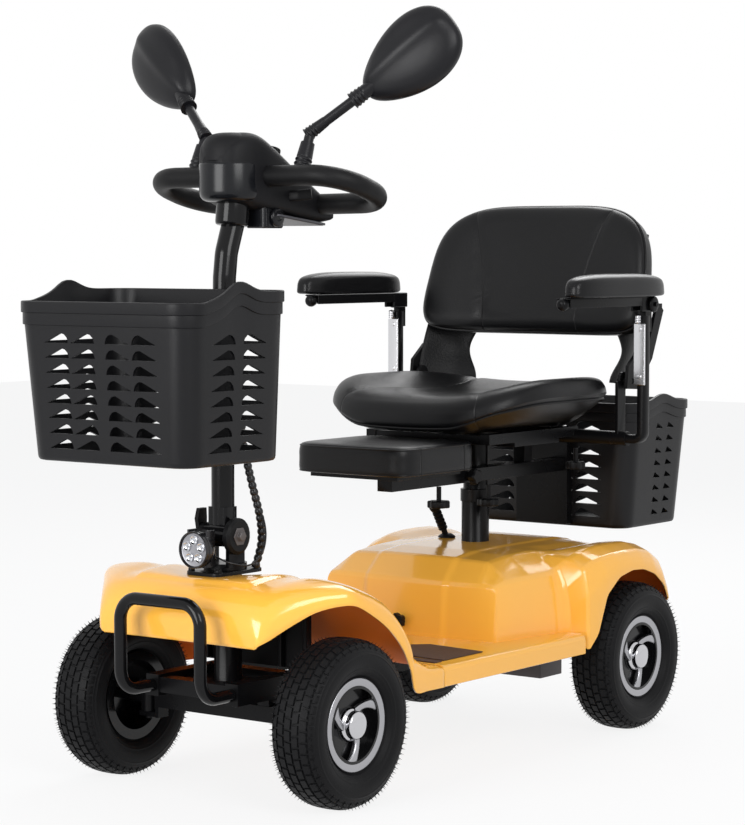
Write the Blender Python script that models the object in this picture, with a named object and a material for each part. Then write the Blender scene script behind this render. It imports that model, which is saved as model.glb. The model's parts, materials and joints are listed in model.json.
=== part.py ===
"""A folding four-wheel mobility scooter with a swivelling seat, a child pad and two baskets.

Metres. +X is the way it drives, +Y its left side, +Z up. The origin is on the floor, under the
middle of its length. Each moving piece hangs from an empty on the axis of its joint.
"""

import math

import bmesh
import bpy
import numpy as np
from mathutils import Matrix, Vector

for startup_object in list(bpy.data.objects):
    bpy.data.objects.remove(startup_object)

# Driving dimensions
WHEELBASE = 0.825
TRACK = 0.442
TYRE_RADIUS = 0.130
TYRE_WIDTH = 0.085
RIM_RADIUS = 0.0715
RIM_WIDTH = 0.062
AXLE_RADIUS = 0.0085
KINGPIN_OFFSET = 0.056
STEERING_ARM = 0.065
FLOOR_HEIGHT = 0.190
SKIRT_HEIGHT = 0.155
SHELL_WALL = 0.004
BODY_WIDTH = 0.512
DECK_HEIGHT = 0.330
NOSE_HEIGHT = 0.350
HEAD_TOP = 0.342
COLUMN_RADIUS = 0.018
FOLD_X = 0.432
FOLD_HEIGHT = 0.402
GRIP_RADIUS = 0.0163
SEAT_POST_X = -0.265
SEAT_POST_RADIUS = 0.0215
SEAT_UNDERSIDE = 0.531
BASKET_WALL = 0.004
GAP = 0.0003
BEARING_GAP = 0.0004

FRONT_AXLE_X = WHEELBASE / 2
REAR_AXLE_X = -WHEELBASE / 2
WHEEL_STEPS = 28
AXLE_HEIGHT = TYRE_RADIUS * math.cos(math.pi / WHEEL_STEPS)
WHEEL_Y = TRACK / 2
KINGPIN_Y = WHEEL_Y - KINGPIN_OFFSET
SIDE_Y = BODY_WIDTH / 2
SIDES = (("left", 1), ("right", -1))

BLACK_STEEL = ((0.03, 0.03, 0.033), 0.4)
BLACK_PLASTIC = ((0.035, 0.035, 0.04), 0.5)
YELLOW = ((0.95, 0.50, 0.06), 0.25)
LEATHER = ((0.02, 0.02, 0.02), 0.55)
SILVER = ((0.7, 0.7, 0.72), 0.25, 1.0)


# Shapes
def unit(vector):
    vector = np.asarray(vector, float)
    return vector / np.linalg.norm(vector)


def circle(radius, steps):
    """Points round a circle, anticlockwise, from +X."""
    turn = np.arange(steps) * 2 * math.pi / steps
    return np.stack([radius * np.cos(turn), radius * np.sin(turn)], 1)


def rounded_rectangle(length, width, radius, steps=3, side_points=0):
    """A rectangle with round corners of `steps` flats, and more points along its two long sides."""
    pieces = []
    for quarter, (sx, sy) in enumerate(((1, 1), (-1, 1), (-1, -1), (1, -1))):
        turn = (quarter + np.arange(steps + 1) / steps) * math.pi / 2
        middle = np.array([sx * (length / 2 - radius), sy * (width / 2 - radius)])
        pieces.append(middle + radius * np.stack([np.cos(turn), np.sin(turn)], 1))
        if side_points and quarter in (0, 2):
            run = np.linspace(sx, -sx, side_points + 2)[1:-1] * (length / 2 - radius)
            pieces.append(np.stack([run, np.full(side_points, sy * width / 2)], 1))
    return np.concatenate(pieces)


def mesh_of(points, faces):
    """A closed mesh facing out, with points that fall together made one."""
    bm = bmesh.new()
    made = [bm.verts.new(point) for point in points]
    for face in faces:
        bm.faces.new([made[corner] for corner in face])
    bmesh.ops.remove_doubles(bm, verts=bm.verts, dist=1e-6)
    bmesh.ops.recalc_face_normals(bm, faces=bm.faces)
    mesh = bpy.data.meshes.new("shape")
    bm.to_mesh(mesh)
    bm.free()
    return mesh


def lofted(rings, closed=False):
    """Rings of equally many points, skinned one to the next. An open loft gets a face at each end."""
    rings = np.asarray(rings, float)
    count, around = rings.shape[:2]
    index = np.arange(count * around).reshape(count, around)
    following = np.roll(index, -1, axis=0)
    spans = count if closed else count - 1
    faces = [
        (index[i, j], index[i, (j + 1) % around], following[i, (j + 1) % around], following[i, j])
        for i in range(spans)
        for j in range(around)
    ]
    if not closed:
        faces += [tuple(index[0]), tuple(index[-1])]
    return mesh_of(rings.reshape(-1, 3), faces)


def block(low, high):
    """A box between two corners, given in any order."""
    (x0, y0, z0), (x1, y1, z1) = np.minimum(low, high), np.maximum(low, high)
    outline = [(x0, y0), (x1, y0), (x1, y1), (x0, y1)]
    return lofted([[(x, y, z) for x, y in outline] for z in (z0, z1)])


def axis_frame(axis):
    """The axis as a unit vector, with two more that stand square to it."""
    axis = unit(axis)
    side = unit(np.cross(axis, (0, 0, 1) if abs(axis[2]) < 0.9 else (0, 1, 0)))
    return axis, side, np.cross(axis, side)


def turned(profile, centre, axis, steps=20):
    """A profile of (radius, distance along the axis) carried round it, with flats square to its frame."""
    axis, side, up = axis_frame(axis)
    profile = np.asarray(profile, float)
    rings = []
    for step in range(steps):
        turn = (step + 0.5) * 2 * math.pi / steps
        out = math.cos(turn) * side + math.sin(turn) * up
        rings.append(np.asarray(centre) + profile[:, :1] * out + profile[:, 1:] * axis)
    return lofted(rings, closed=True)


def rod(start, end, radius, steps=12):
    """A round bar between two points."""
    start, end = np.asarray(start, float), np.asarray(end, float)
    length = np.linalg.norm(end - start)
    return turned([(0, 0), (radius, 0), (radius, length), (0, length)], start, end - start, steps)


def filleted(corners, radius, steps=4):
    """A path through corner points, each inner corner rounded to the radius."""
    corners = np.asarray(corners, float)
    path = [corners[0]]
    for before, corner, after in zip(corners, corners[1:], corners[2:]):
        a, b = unit(before - corner), unit(after - corner)
        half = math.acos(np.clip(a @ b, -1, 1)) / 2
        middle = corner + unit(a + b) * radius / math.sin(half)
        start, end = corner + a * radius / math.tan(half), corner + b * radius / math.tan(half)
        sweep = math.pi - 2 * half
        for step in range(steps + 1):
            first = math.sin((1 - step / steps) * sweep) * (start - middle)
            second = math.sin(step / steps * sweep) * (end - middle)
            path.append(middle + (first + second) / math.sin(sweep))
    path.append(corners[-1])
    return np.array(path)


def swept(path, outline, side=(0, 1, 0)):
    """An outline carried along a path. Its first coordinate lies along `side` at the start."""
    path = np.asarray(path, float)
    tangents = np.gradient(path, axis=0)
    outline = np.asarray(outline, float)
    side = np.asarray(side, float)
    rings = []
    for point, tangent in zip(path, tangents):
        tangent = unit(tangent)
        side = unit(side - (side @ tangent) * tangent)
        rings.append(point + outline[:, :1] * side + outline[:, 1:] * np.cross(tangent, side))
    return lofted(rings)


def cushion(outline, centre, levels, lift=None):
    """Rings up a pad or plate: the outline shrunk by each level's share, at its height, plus a lift."""
    rings = []
    for share, height in levels:
        x, y = (np.asarray(outline) * share + np.asarray(centre)).T
        z = height + (lift(x, y) if lift else 0 * x)
        rings.append(np.stack([x, y, z], 1))
    return lofted(rings)


# Objects
def finish(name, colour, roughness, metallic=0.0):
    """A Principled material of the piece's own."""
    made = bpy.data.materials.new(name)
    made.use_nodes = True
    shader = made.node_tree.nodes["Principled BSDF"]
    shader.inputs["Base Color"].default_value = (*colour, 1)
    shader.inputs["Roughness"].default_value = roughness
    shader.inputs["Metallic"].default_value = metallic
    return made


def hang(made, parent):
    """Parents a piece and leaves it where it is."""
    if parent:
        made.parent = parent
        made.matrix_parent_inverse = parent.matrix_world.inverted()


def joint_axis(name, place, parent=None):
    """An empty on the axis of a joint."""
    empty = bpy.data.objects.new(name, None)
    bpy.context.scene.collection.objects.link(empty)
    empty.empty_display_size = 0.05
    hang(empty, parent)
    empty.matrix_world = Matrix.Translation(Vector(place))
    bpy.context.view_layer.update()
    return empty


def helpers(name, shapes):
    """Hidden meshes for a Boolean to add or to take away."""
    collection = bpy.data.collections.new(name)
    bpy.context.scene.collection.children.link(collection)
    for number, shape in enumerate(shapes):
        helper = bpy.data.objects.new(f"{name}_{number}", shape)
        helper.hide_render = True
        helper.display_type = "WIRE"
        collection.objects.link(helper)
    return collection


def piece(name, shapes, look, parent=None, cutters=(), wall=0.0):
    """One named solid: a shape, given a wall if it is a sheet, joined to the others and then cut."""
    made = bpy.data.objects.new(name, shapes[0])
    bpy.context.scene.collection.objects.link(made)
    made.data.materials.append(finish(name, *look))
    hang(made, parent)
    if wall:
        sheet = made.modifiers.new("wall", "SOLIDIFY")
        sheet.thickness = wall
        sheet.offset = -1
        sheet.use_even_offset = True
    for operation, others in (("UNION", shapes[1:]), ("DIFFERENCE", cutters)):
        if len(others):
            change = made.modifiers.new(operation.lower(), "BOOLEAN")
            change.operation = operation
            change.solver = "EXACT"
            change.operand_type = "COLLECTION"
            change.collection = helpers(f"{name}_{operation.lower()}", others)
    made.data.shade_smooth()
    made.data.set_sharp_from_angle(angle=math.radians(35))
    return made


# Wheels: each tyre is a solid ring between the flanges of a three-spoke alloy rim, flat where it stands
HUB_RADIUS = 0.020
HUB_BORE = AXLE_RADIUS + BEARING_GAP
HUB_IN = -0.024
SPINDLE_END = 0.020
CAP_END = 0.034
DISH_IN = 0.012
SPOKE_FACE = 0.020
FLANGE = 0.003
BARREL_RADIUS = RIM_RADIUS - 0.016
BARREL_WALL = 0.003
SPOKES = 3


def tyre_shape(centre, outward):
    """A tyre section: bead between the flanges, bulging walls, shoulders and a crowned tread."""
    half = TYRE_WIDTH / 2
    bead = RIM_WIDTH / 2 - FLANGE - GAP
    foot = RIM_RADIUS + GAP
    wall = TYRE_RADIUS - foot
    side = [
        (BARREL_RADIUS + GAP, bead),
        (foot, bead),
        (foot + 0.14 * wall, bead + 0.0080),
        (foot + 0.50 * wall, half),
        (TYRE_RADIUS - 0.007, half - 0.0075),
        (TYRE_RADIUS, half - 0.024),
    ]
    profile = side + [(radius, -across) for radius, across in reversed(side)]
    return turned(profile, centre, (0, outward, 0), WHEEL_STEPS)


def spoke(centre, outward, number):
    """A blade from hub to ring that sweeps back as it goes out and widens at both ends."""
    inner, outer = HUB_RADIUS - 0.004, BARREL_RADIUS - 0.002
    rings = []
    for share, sweep, half_width in ((0.0, 0.0, 0.0110), (0.5, 0.18, 0.0075), (1.0, 0.50, 0.0110)):
        radius = inner + share * (outer - inner)
        turn = number * 2 * math.pi / SPOKES + sweep * outward
        out = np.array([math.cos(turn), 0, math.sin(turn)])
        along = np.array([-math.sin(turn), 0, math.cos(turn)])
        back, front = DISH_IN + 0.001, SPOKE_FACE + 0.005 * share
        section = (
            (-half_width, back), (half_width, back), (half_width, front - 0.002),
            (0.4 * half_width, front), (-0.4 * half_width, front), (-half_width, front - 0.002),
        )
        start = np.asarray(centre) + radius * out
        rings.append([start + a * along + np.array([0, outward * d, 0]) for a, d in section])
    return lofted(rings)


def rim_shapes(centre, outward):
    """One turned section of barrel, flanges, dished plate, hub and domed cap, with its spokes."""
    half = RIM_WIDTH / 2
    inside = BARREL_RADIUS - BARREL_WALL
    section = [
        (HUB_BORE, HUB_IN), (HUB_RADIUS, HUB_IN), (HUB_RADIUS, DISH_IN - 0.004), (inside, DISH_IN),
        (inside, -half), (RIM_RADIUS, -half), (RIM_RADIUS, FLANGE - half), (BARREL_RADIUS, FLANGE - half),
        (BARREL_RADIUS, half - FLANGE), (RIM_RADIUS, half - FLANGE), (RIM_RADIUS, half),
        (inside, half - 0.002), (inside, DISH_IN + 0.004),
        (HUB_RADIUS, DISH_IN + 0.003), (HUB_RADIUS, CAP_END - 0.008), (HUB_RADIUS - 0.006, CAP_END - 0.003),
        (0, CAP_END), (0, SPINDLE_END + 0.001), (HUB_BORE, SPINDLE_END + 0.001),
    ]
    plate = turned(section, centre, (0, outward, 0), WHEEL_STEPS)
    return [plate] + [spoke(centre, outward, number) for number in range(SPOKES)]


def wheel(name, centre, outward, parent=None):
    """A tyre and its rim, hung on the axis of their axle."""
    axle = joint_axis(f"axis_wheel_{name}", centre, parent)
    piece(f"tyre_{name}", [tyre_shape(centre, outward)], ((0.03, 0.03, 0.032), 0.8), axle)
    piece(f"rim_{name}", rim_shapes(centre, outward), SILVER, axle)


# Frame: two box rails with cross members, a steering head in front and a post socket behind
RAIL_Y = 0.080
RAIL_WIDTH = 0.025
RAIL_BOTTOM = 0.152
RAIL_TOP = FLOOR_HEIGHT - SHELL_WALL - GAP
RAIL_END = 0.500
CROSS_MEMBERS = (0.485, 0.340, 0.100, -0.100, -0.340, -0.485)
CROSS_HALF = 0.0125
HEAD_RADIUS = 0.022
STEER_SHAFT_RADIUS = 0.014
SOCKET_RADIUS = 0.0245
SOCKET_BORE = SEAT_POST_RADIUS + BEARING_GAP
SOCKET_TOP = DECK_HEIGHT + 0.070
SOCKET_FLOOR = 0.176


def frame():
    half = RAIL_WIDTH / 2
    shapes = [
        block((-RAIL_END, y - half, RAIL_BOTTOM), (RAIL_END, y + half, RAIL_TOP))
        for y in (RAIL_Y, -RAIL_Y)
    ]
    shapes += [
        block((x - CROSS_HALF, -RAIL_Y, RAIL_BOTTOM + 0.006), (x + CROSS_HALF, RAIL_Y, RAIL_TOP - 0.004))
        for x in CROSS_MEMBERS
    ]
    shapes += [
        block((FRONT_AXLE_X - 0.035, -RAIL_Y, 0.166), (FRONT_AXLE_X + 0.035, RAIL_Y, 0.174)),
        rod((FRONT_AXLE_X, 0, 0.168), (FRONT_AXLE_X, 0, HEAD_TOP), HEAD_RADIUS, 20),
        block((SEAT_POST_X - 0.04, -RAIL_Y, 0.162), (SEAT_POST_X + 0.04, RAIL_Y, 0.170)),
        rod((SEAT_POST_X, 0, 0.164), (SEAT_POST_X, 0, SOCKET_TOP), SOCKET_RADIUS, 20),
    ]
    head_bore = STEER_SHAFT_RADIUS + BEARING_GAP
    cutters = [
        rod((FRONT_AXLE_X, 0, RAIL_BOTTOM - 0.01), (FRONT_AXLE_X, 0, HEAD_TOP + 0.01), head_bore, 20),
        rod((SEAT_POST_X, 0, SOCKET_FLOOR), (SEAT_POST_X, 0, SOCKET_TOP + 0.01), SOCKET_BORE, 20),
    ]
    piece("frame", shapes, BLACK_STEEL, cutters=cutters)


# Front axle: a beam bolted under the rails, with a clevis and kingpin at each end
BEAM_HALF = 0.0125
KINGPIN_RADIUS = 0.006
CLEVIS_HALF = 0.030
CLEVIS_IN = KINGPIN_Y - 0.030
LUG = 0.008


def front_axle():
    x, z = FRONT_AXLE_X, AXLE_HEIGHT
    beam_end = CLEVIS_IN + 0.003
    shapes = [block((x - BEAM_HALF, -beam_end, z - BEAM_HALF), (x + BEAM_HALF, beam_end, z + BEAM_HALF))]
    for _, side in SIDES:
        pin_y = side * KINGPIN_Y
        shapes += [
            block(
                (x - 0.0115, side * (RAIL_Y - 0.011), z),
                (x + 0.0115, side * (RAIL_Y + 0.011), RAIL_BOTTOM - GAP),
            ),
            block(
                (x - 0.012, side * CLEVIS_IN, z - CLEVIS_HALF),
                (x + 0.012, side * (CLEVIS_IN + 0.007), z + CLEVIS_HALF),
            ),
            rod((x, pin_y, z - CLEVIS_HALF - 0.004), (x, pin_y, z + CLEVIS_HALF + 0.004), KINGPIN_RADIUS, 12),
        ]
        for low in (z - CLEVIS_HALF + 0.0005, z + CLEVIS_HALF - LUG):
            shapes.append(block(
                (x - 0.0105, side * (CLEVIS_IN + 0.002), low),
                (x + 0.0105, side * (KINGPIN_Y + 0.012), low + LUG - 0.0005),
            ))
    piece("front_axle_beam", shapes, BLACK_STEEL)


PIN_RADIUS = 0.005
ARM_THICKNESS = 0.008
ARM_TOP = AXLE_HEIGHT
ROD_BOTTOM = ARM_TOP + 0.0007
ROD_TOP = ROD_BOTTOM + 0.008
ARM_END_X = FRONT_AXLE_X - STEERING_ARM


def knuckle(name, side, parent):
    """A barrel on the kingpin with the wheel's spindle and, behind it, the arm that the tie rod moves."""
    x, y, z = FRONT_AXLE_X, side * KINGPIN_Y, AXLE_HEIGHT
    barrel_half = CLEVIS_HALF - LUG - GAP
    shapes = [
        rod((x, y, z - barrel_half), (x, y, z + barrel_half), 0.0125),
        rod((x, y + side * 0.003, z), (x, side * (WHEEL_Y + SPINDLE_END), z), AXLE_RADIUS),
        rod((x, y + side * 0.001, z), (x, side * (WHEEL_Y + HUB_IN - GAP), z), 0.0118),
        block((ARM_END_X, y - 0.008, ARM_TOP - ARM_THICKNESS), (x - 0.001, y + 0.008, ARM_TOP)),
        rod((ARM_END_X, y, ARM_TOP - ARM_THICKNESS + 0.0002), (ARM_END_X, y, ARM_TOP + 0.0003), 0.0115, 12),
        rod((ARM_END_X, y, ARM_TOP - 0.004), (ARM_END_X, y, ROD_TOP + 0.002), PIN_RADIUS, 12),
    ]
    bore = rod((x, y, z - 0.05), (x, y, z + 0.05), KINGPIN_RADIUS + BEARING_GAP, 12)
    piece(f"knuckle_{name}", shapes, BLACK_STEEL, parent, [bore])


def tie_rod(parent):
    """One bar over both knuckle arms, which the arm at the foot of the steering shaft moves."""
    x = ARM_END_X
    shapes = [block((x - 0.007, -KINGPIN_Y, ROD_BOTTOM), (x + 0.007, KINGPIN_Y, ROD_TOP))]
    bores = []
    for y in (KINGPIN_Y, 0, -KINGPIN_Y):
        shapes.append(rod((x, y, ROD_BOTTOM + 0.0002), (x, y, ROD_TOP - 0.0002), 0.0112, 12))
        bores.append(rod((x, y, ROD_BOTTOM - 0.02), (x, y, ROD_TOP + 0.02), PIN_RADIUS + BEARING_GAP, 12))
    piece("tie_rod", shapes, SILVER, parent, bores)


# Steering shaft with the fork that carries the folding tiller
PITMAN_BOTTOM = ROD_TOP + 0.006
FORK_IN = 0.0225
CHEEK = 0.007
PLATE_TOP = HEAD_TOP + 0.006
FORK_BASE = PLATE_TOP + 0.0006
BASE_RADIUS = 0.034
PIVOT_RADIUS = 0.006
PIVOT_LUG = 0.0185
CAP_RADIUS = 0.0285


def steering_shaft(parent):
    x, pin_x = FRONT_AXLE_X, ARM_END_X
    shapes = [
        rod((x, 0, PITMAN_BOTTOM + 0.001), (x, 0, FORK_BASE + 0.004), STEER_SHAFT_RADIUS, 20),
        block((pin_x, -0.009, PITMAN_BOTTOM), (x, 0.009, PITMAN_BOTTOM + 0.008)),
        rod((pin_x, 0, PITMAN_BOTTOM + 0.0002), (pin_x, 0, PITMAN_BOTTOM + 0.0078), 0.0112, 12),
        rod((pin_x, 0, ROD_BOTTOM - 0.002), (pin_x, 0, PITMAN_BOTTOM + 0.004), PIN_RADIUS, 12),
        rod((x + 0.006, 0, FORK_BASE), (x + 0.006, 0, FORK_BASE + 0.010), BASE_RADIUS, 20),
        rod((FOLD_X, -0.040, FOLD_HEIGHT), (FOLD_X, 0.040, FOLD_HEIGHT), PIVOT_RADIUS, 12),
    ]
    for _, side in SIDES:
        inside, outside = side * FORK_IN, side * (FORK_IN + CHEEK)
        shapes += [
            block((x - 0.006, inside, FORK_BASE + 0.005), (FOLD_X + 0.012, outside, FOLD_HEIGHT - 0.004)),
            rod((FOLD_X, inside, FOLD_HEIGHT), (FOLD_X, outside, FOLD_HEIGHT), PIVOT_LUG, 20),
        ]
    piece("steering_shaft", shapes, BLACK_STEEL, parent)


def fold_joint_trim(parent):
    """The round cap on the left end of the folding pin and the paddle that locks it on the right."""
    face = FORK_IN + CHEEK + GAP
    bore = PIVOT_RADIUS + GAP
    cap = turned(
        [(bore, face), (CAP_RADIUS, face), (CAP_RADIUS, face + 0.008), (CAP_RADIUS - 0.005, face + 0.011),
         (bore, face + 0.011)],
        (FOLD_X, 0, FOLD_HEIGHT), (0, 1, 0), 24,
    )
    piece("fold_joint_cap", [cap], BLACK_PLASTIC, parent)
    paddle = lofted([
        [(FOLD_X + x + across * half, -face - out, FOLD_HEIGHT + z)
         for across, out in ((-1, 0.003), (1, 0.003), (1, 0.010), (-1, 0.010))]
        for x, half, z in ((0.0, 0.008, 0.040), (0.002, 0.011, 0.024), (0.0, 0.008, 0.0), (0.004, 0.007, -0.012))
    ])
    disc = rod((FOLD_X, -face, FOLD_HEIGHT), (FOLD_X, -face - 0.009, FOLD_HEIGHT), 0.014, 20)
    hole = rod((FOLD_X, 0, FOLD_HEIGHT), (FOLD_X, -0.1, FOLD_HEIGHT), bore, 12)
    piece("fold_lever", [disc, paddle], BLACK_PLASTIC, parent, [hole])


LAMP_FRONT = 0.496
LAMP_HEIGHT = 0.384
LAMP_RADIUS = 0.0285
LAMP_DEPTH = 0.034


def headlight(parent):
    """A round lamp with a sunk reflector, on a bracket from the fork's base."""
    back, front, radius = LAMP_FRONT - LAMP_DEPTH, LAMP_FRONT, LAMP_RADIUS
    bowl = turned(
        [(0, back), (0.018, back), (radius - 0.003, back + 0.010), (radius, back + 0.016), (radius, front),
         (radius - 0.003, front), (radius - 0.004, front - 0.004), (0.010, front - 0.010),
         (0, front - 0.010)],
        (0, 0, LAMP_HEIGHT), (1, 0, 0), 24,
    )
    neck_start = FRONT_AXLE_X + 0.006 + BASE_RADIUS + GAP
    neck = block((neck_start, -0.008, FORK_BASE + 0.001), (back + 0.006, 0.008, LAMP_HEIGHT))
    piece("headlight", [bowl, neck], ((0.6, 0.6, 0.62), 0.3, 1.0), parent)


# Body shells: rows of the outer surface, each from the side lip over a round shoulder to the middle
ROW_POINTS = 8


def shell_grid(rows):
    """Rows of (middle x, z, lip x, y, z, squareness of the shoulder, swell of the fender crown)."""
    share = np.sin(np.linspace(0, math.pi / 2, ROW_POINTS)) ** 0.8
    step = np.clip(share / 0.7, 0, 1)
    grid = []
    for middle_x, middle_z, lip_x, lip_y, lip_z, square, swell in rows:
        top = middle_z + swell * step * step * (3 - 2 * step)
        x = middle_x + (lip_x - middle_x) * share**2
        z = lip_z + (top - lip_z) * (1 - share**square) ** (1 / square)
        half = np.stack([x, lip_y * share, z], 1)
        grid.append(np.concatenate([half[:0:-1] * (1, -1, 1), half]))
    return np.array(grid)


def sheet_of(grid):
    """A grid of points as an open sheet whose faces look up and out."""
    down, across = grid.shape[:2]
    index = np.arange(down * across).reshape(down, across).tolist()
    faces = [
        (index[i][j], index[i][j + 1], index[i + 1][j + 1], index[i + 1][j])
        for i in range(down - 1)
        for j in range(across - 1)
    ]
    mesh = bpy.data.meshes.new("sheet")
    mesh.from_pydata(grid.reshape(-1, 3).tolist(), [], faces)
    mesh.update()
    if sum(polygon.normal.z for polygon in mesh.polygons) < 0:
        mesh.flip_normals()
    return mesh


PAN_FRONT = 0.180
PAN_REAR = -0.236
FRONT_ARCH = 0.053
REAR_ARCH = 0.0255


def front_shell():
    """Floor edge, dash slope, fender crowns and nose, in rows from the back to the chin."""
    y, skirt, top = SIDE_Y, SKIRT_HEIGHT, NOSE_HEIGHT
    arch = 2 * TYRE_RADIUS + FRONT_ARCH
    rows = (
        (PAN_FRONT + GAP, FLOOR_HEIGHT, PAN_FRONT + GAP, y - 0.006, skirt, 12, 0.0),
        (0.215, top - 0.152, 0.225, y - 0.004, skirt + 0.001, 10, 0.0),
        (0.250, top - 0.128, 0.262, y - 0.002, skirt + 0.004, 7, 0.004),
        (0.278, top - 0.100, 0.276, y - 0.001, arch - 0.118, 6, 0.008),
        (0.306, top - 0.072, 0.300, y, arch - 0.080, 5, 0.012),
        (0.338, top - 0.044, 0.334, y, arch - 0.048, 4.5, 0.014),
        (0.372, top - 0.025, 0.374, y, arch - 0.023, 4, 0.014),
        (0.410, top - 0.0150, FRONT_AXLE_X, y - 0.004, arch - 0.004, 4, 0.013),
        (0.440, top - 0.0125, 0.438, y - 0.019, arch - 0.003, 4, 0.010),
        (0.466, top - 0.0120, 0.464, y - 0.041, arch - 0.011, 4, 0.007),
        (0.490, top - 0.0125, 0.488, y - 0.060, arch - 0.026, 4, 0.004),
        (0.510, top - 0.019, 0.509, y - 0.076, arch - 0.041, 4, 0.002),
        (0.526, top - 0.037, 0.524, y - 0.088, arch - 0.052, 4, 0.0),
        (0.534, top - 0.062, 0.533, y - 0.096, arch - 0.058, 4, 0.0),
        (0.530, top - 0.101, 0.532, y - 0.106, arch - 0.064, 4, 0.0),
    )
    hole = rod((FRONT_AXLE_X, 0, top - 0.10), (FRONT_AXLE_X, 0, top + 0.05), HEAD_RADIUS + 0.0005, 20)
    piece("front_shell", [sheet_of(shell_grid(rows))], YELLOW, cutters=[hole], wall=SHELL_WALL)


def rear_shell():
    """Front wall, deck, fender crowns and tail, in rows from the floor over the deck to the tail."""
    y, deck, skirt = SIDE_Y, DECK_HEIGHT, SKIRT_HEIGHT
    foot = FLOOR_HEIGHT - 0.004
    arch = 2 * TYRE_RADIUS + REAR_ARCH
    rows = (
        (-0.046, foot, -0.060, 0.186, foot, 14, 0.0),
        (-0.050, deck - 0.090, -0.064, 0.189, foot, 9, 0.0),
        (-0.056, deck - 0.048, -0.076, 0.194, foot, 7, 0.0),
        (-0.072, deck - 0.024, -0.094, 0.198, foot, 6, 0.0),
        (-0.096, deck - 0.010, -0.120, 0.202, foot, 6, 0.0),
        (-0.150, deck - 0.002, -0.165, 0.208, foot, 6, 0.0),
        (-0.200, deck, -0.210, 0.217, foot, 6, 0.0),
        (-0.228, deck, PAN_REAR + 0.004, 0.234, foot, 5.5, 0.0),
        (-0.262, deck, -0.270, y - 0.008, skirt + 0.004, 5, 0.0),
        (-0.284, deck, -0.280, y - 0.002, arch - 0.060, 4.5, 0.0),
        (-0.306, deck, -0.302, y, arch - 0.028, 4.5, 0.0),
        (-0.340, deck, -0.336, y + 0.001, arch - 0.008, 4.5, 0.0),
        (-0.376, deck, -0.376, y + 0.001, arch, 4.5, 0.0),
        (-0.416, deck - 0.002, -0.416, y + 0.001, arch - 0.002, 4.5, 0.0),
        (-0.456, deck - 0.008, -0.456, y, arch - 0.0145, 4.5, 0.0),
        (-0.492, deck - 0.022, -0.494, y - 0.004, arch - 0.038, 4.5, 0.0),
        (-0.516, deck - 0.046, -0.524, y - 0.012, arch - 0.068, 5, 0.0),
        (-0.526, deck - 0.080, -0.533, y - 0.040, arch - 0.083, 6, 0.0),
        (-0.531, deck - 0.120, -0.536, 0.172, (deck + skirt) / 2 - 0.052, 8, 0.0),
        (-0.532, skirt + 0.010, -0.535, 0.160, skirt + 0.004, 8, 0.0),
    )
    hole = rod((SEAT_POST_X, 0, deck - 0.05), (SEAT_POST_X, 0, deck + 0.03), SOCKET_RADIUS + 0.0005, 20)
    seat_line = block((PAN_REAR - GAP, -y, skirt - 0.01), (0, y, FLOOR_HEIGHT + GAP))
    piece("rear_shell", [sheet_of(shell_grid(rows))], YELLOW, cutters=[hole, seat_line], wall=SHELL_WALL)


def floor_pan():
    """A tray with turned-down skirts, from the dash slope back under the seat housing."""
    top, low, wall, y = FLOOR_HEIGHT, SKIRT_HEIGHT, SHELL_WALL, SIDE_Y - 0.006
    outer = [(y, low), (y, top - 0.010), (y - 0.003, top - 0.003), (y - 0.010, top)]
    inner = [
        (y - 0.0115, top - wall), (y - wall - 0.0025, top - wall - 0.002), (y - wall, top - 0.0115),
        (y - wall, low),
    ]
    right = [(-a, b) for a, b in reversed(outer)]
    left = [(-a, b) for a, b in reversed(inner)]
    section = outer + right + left + inner
    rings = [[(x, a, b) for a, b in section] for x in (PAN_REAR, PAN_FRONT)]
    piece("floor_pan", [lofted(rings)], YELLOW)


def floor_mats():
    """Two rubber mats on the floor, one for each foot."""
    low = FLOOR_HEIGHT + GAP
    corners = ((0.060, 0.080), (0.028, 0.112), (0.040, 0.226), (0.150, 0.226), (0.140, 0.100))
    for name, side in SIDES:
        rings = [[(x, side * y, z) for x, y in corners] for z in (low, low + 0.002)]
        piece(f"floor_mat_{name}", [lofted(rings)], ((0.09, 0.05, 0.03), 0.7))


def column_base():
    """The bolted cover plate on the steering head."""
    x, low = FRONT_AXLE_X, HEAD_TOP + GAP
    plate = cushion(
        rounded_rectangle(0.112, 0.074, 0.016), (x + 0.008, 0),
        ((1, low), (1, PLATE_TOP - 0.0015), (0.97, PLATE_TOP)),
    )
    bore = rod((x, 0, low - 0.02), (x, 0, PLATE_TOP + 0.02), STEER_SHAFT_RADIUS + 0.001, 20)
    piece("column_base", [plate], BLACK_STEEL, cutters=[bore])


def bumper():
    """A hoop of tube in front of the nose, let into the ends of the rails."""
    x, top = 0.572, 0.314
    low = (RAIL_BOTTOM + RAIL_TOP) / 2
    half = [(RAIL_END + GAP, RAIL_Y, low), (x, RAIL_Y, low), (x, RAIL_Y, top)]
    path = filleted(half + [(a, -b, c) for a, b, c in reversed(half)], 0.030, 3)
    piece("bumper", [swept(path, circle(0.00975, 10))], BLACK_STEEL)


# Drive: a rear axle through a geared motor block, and the battery box under the seat housing
DRIVE_HALF = 0.065


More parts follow.
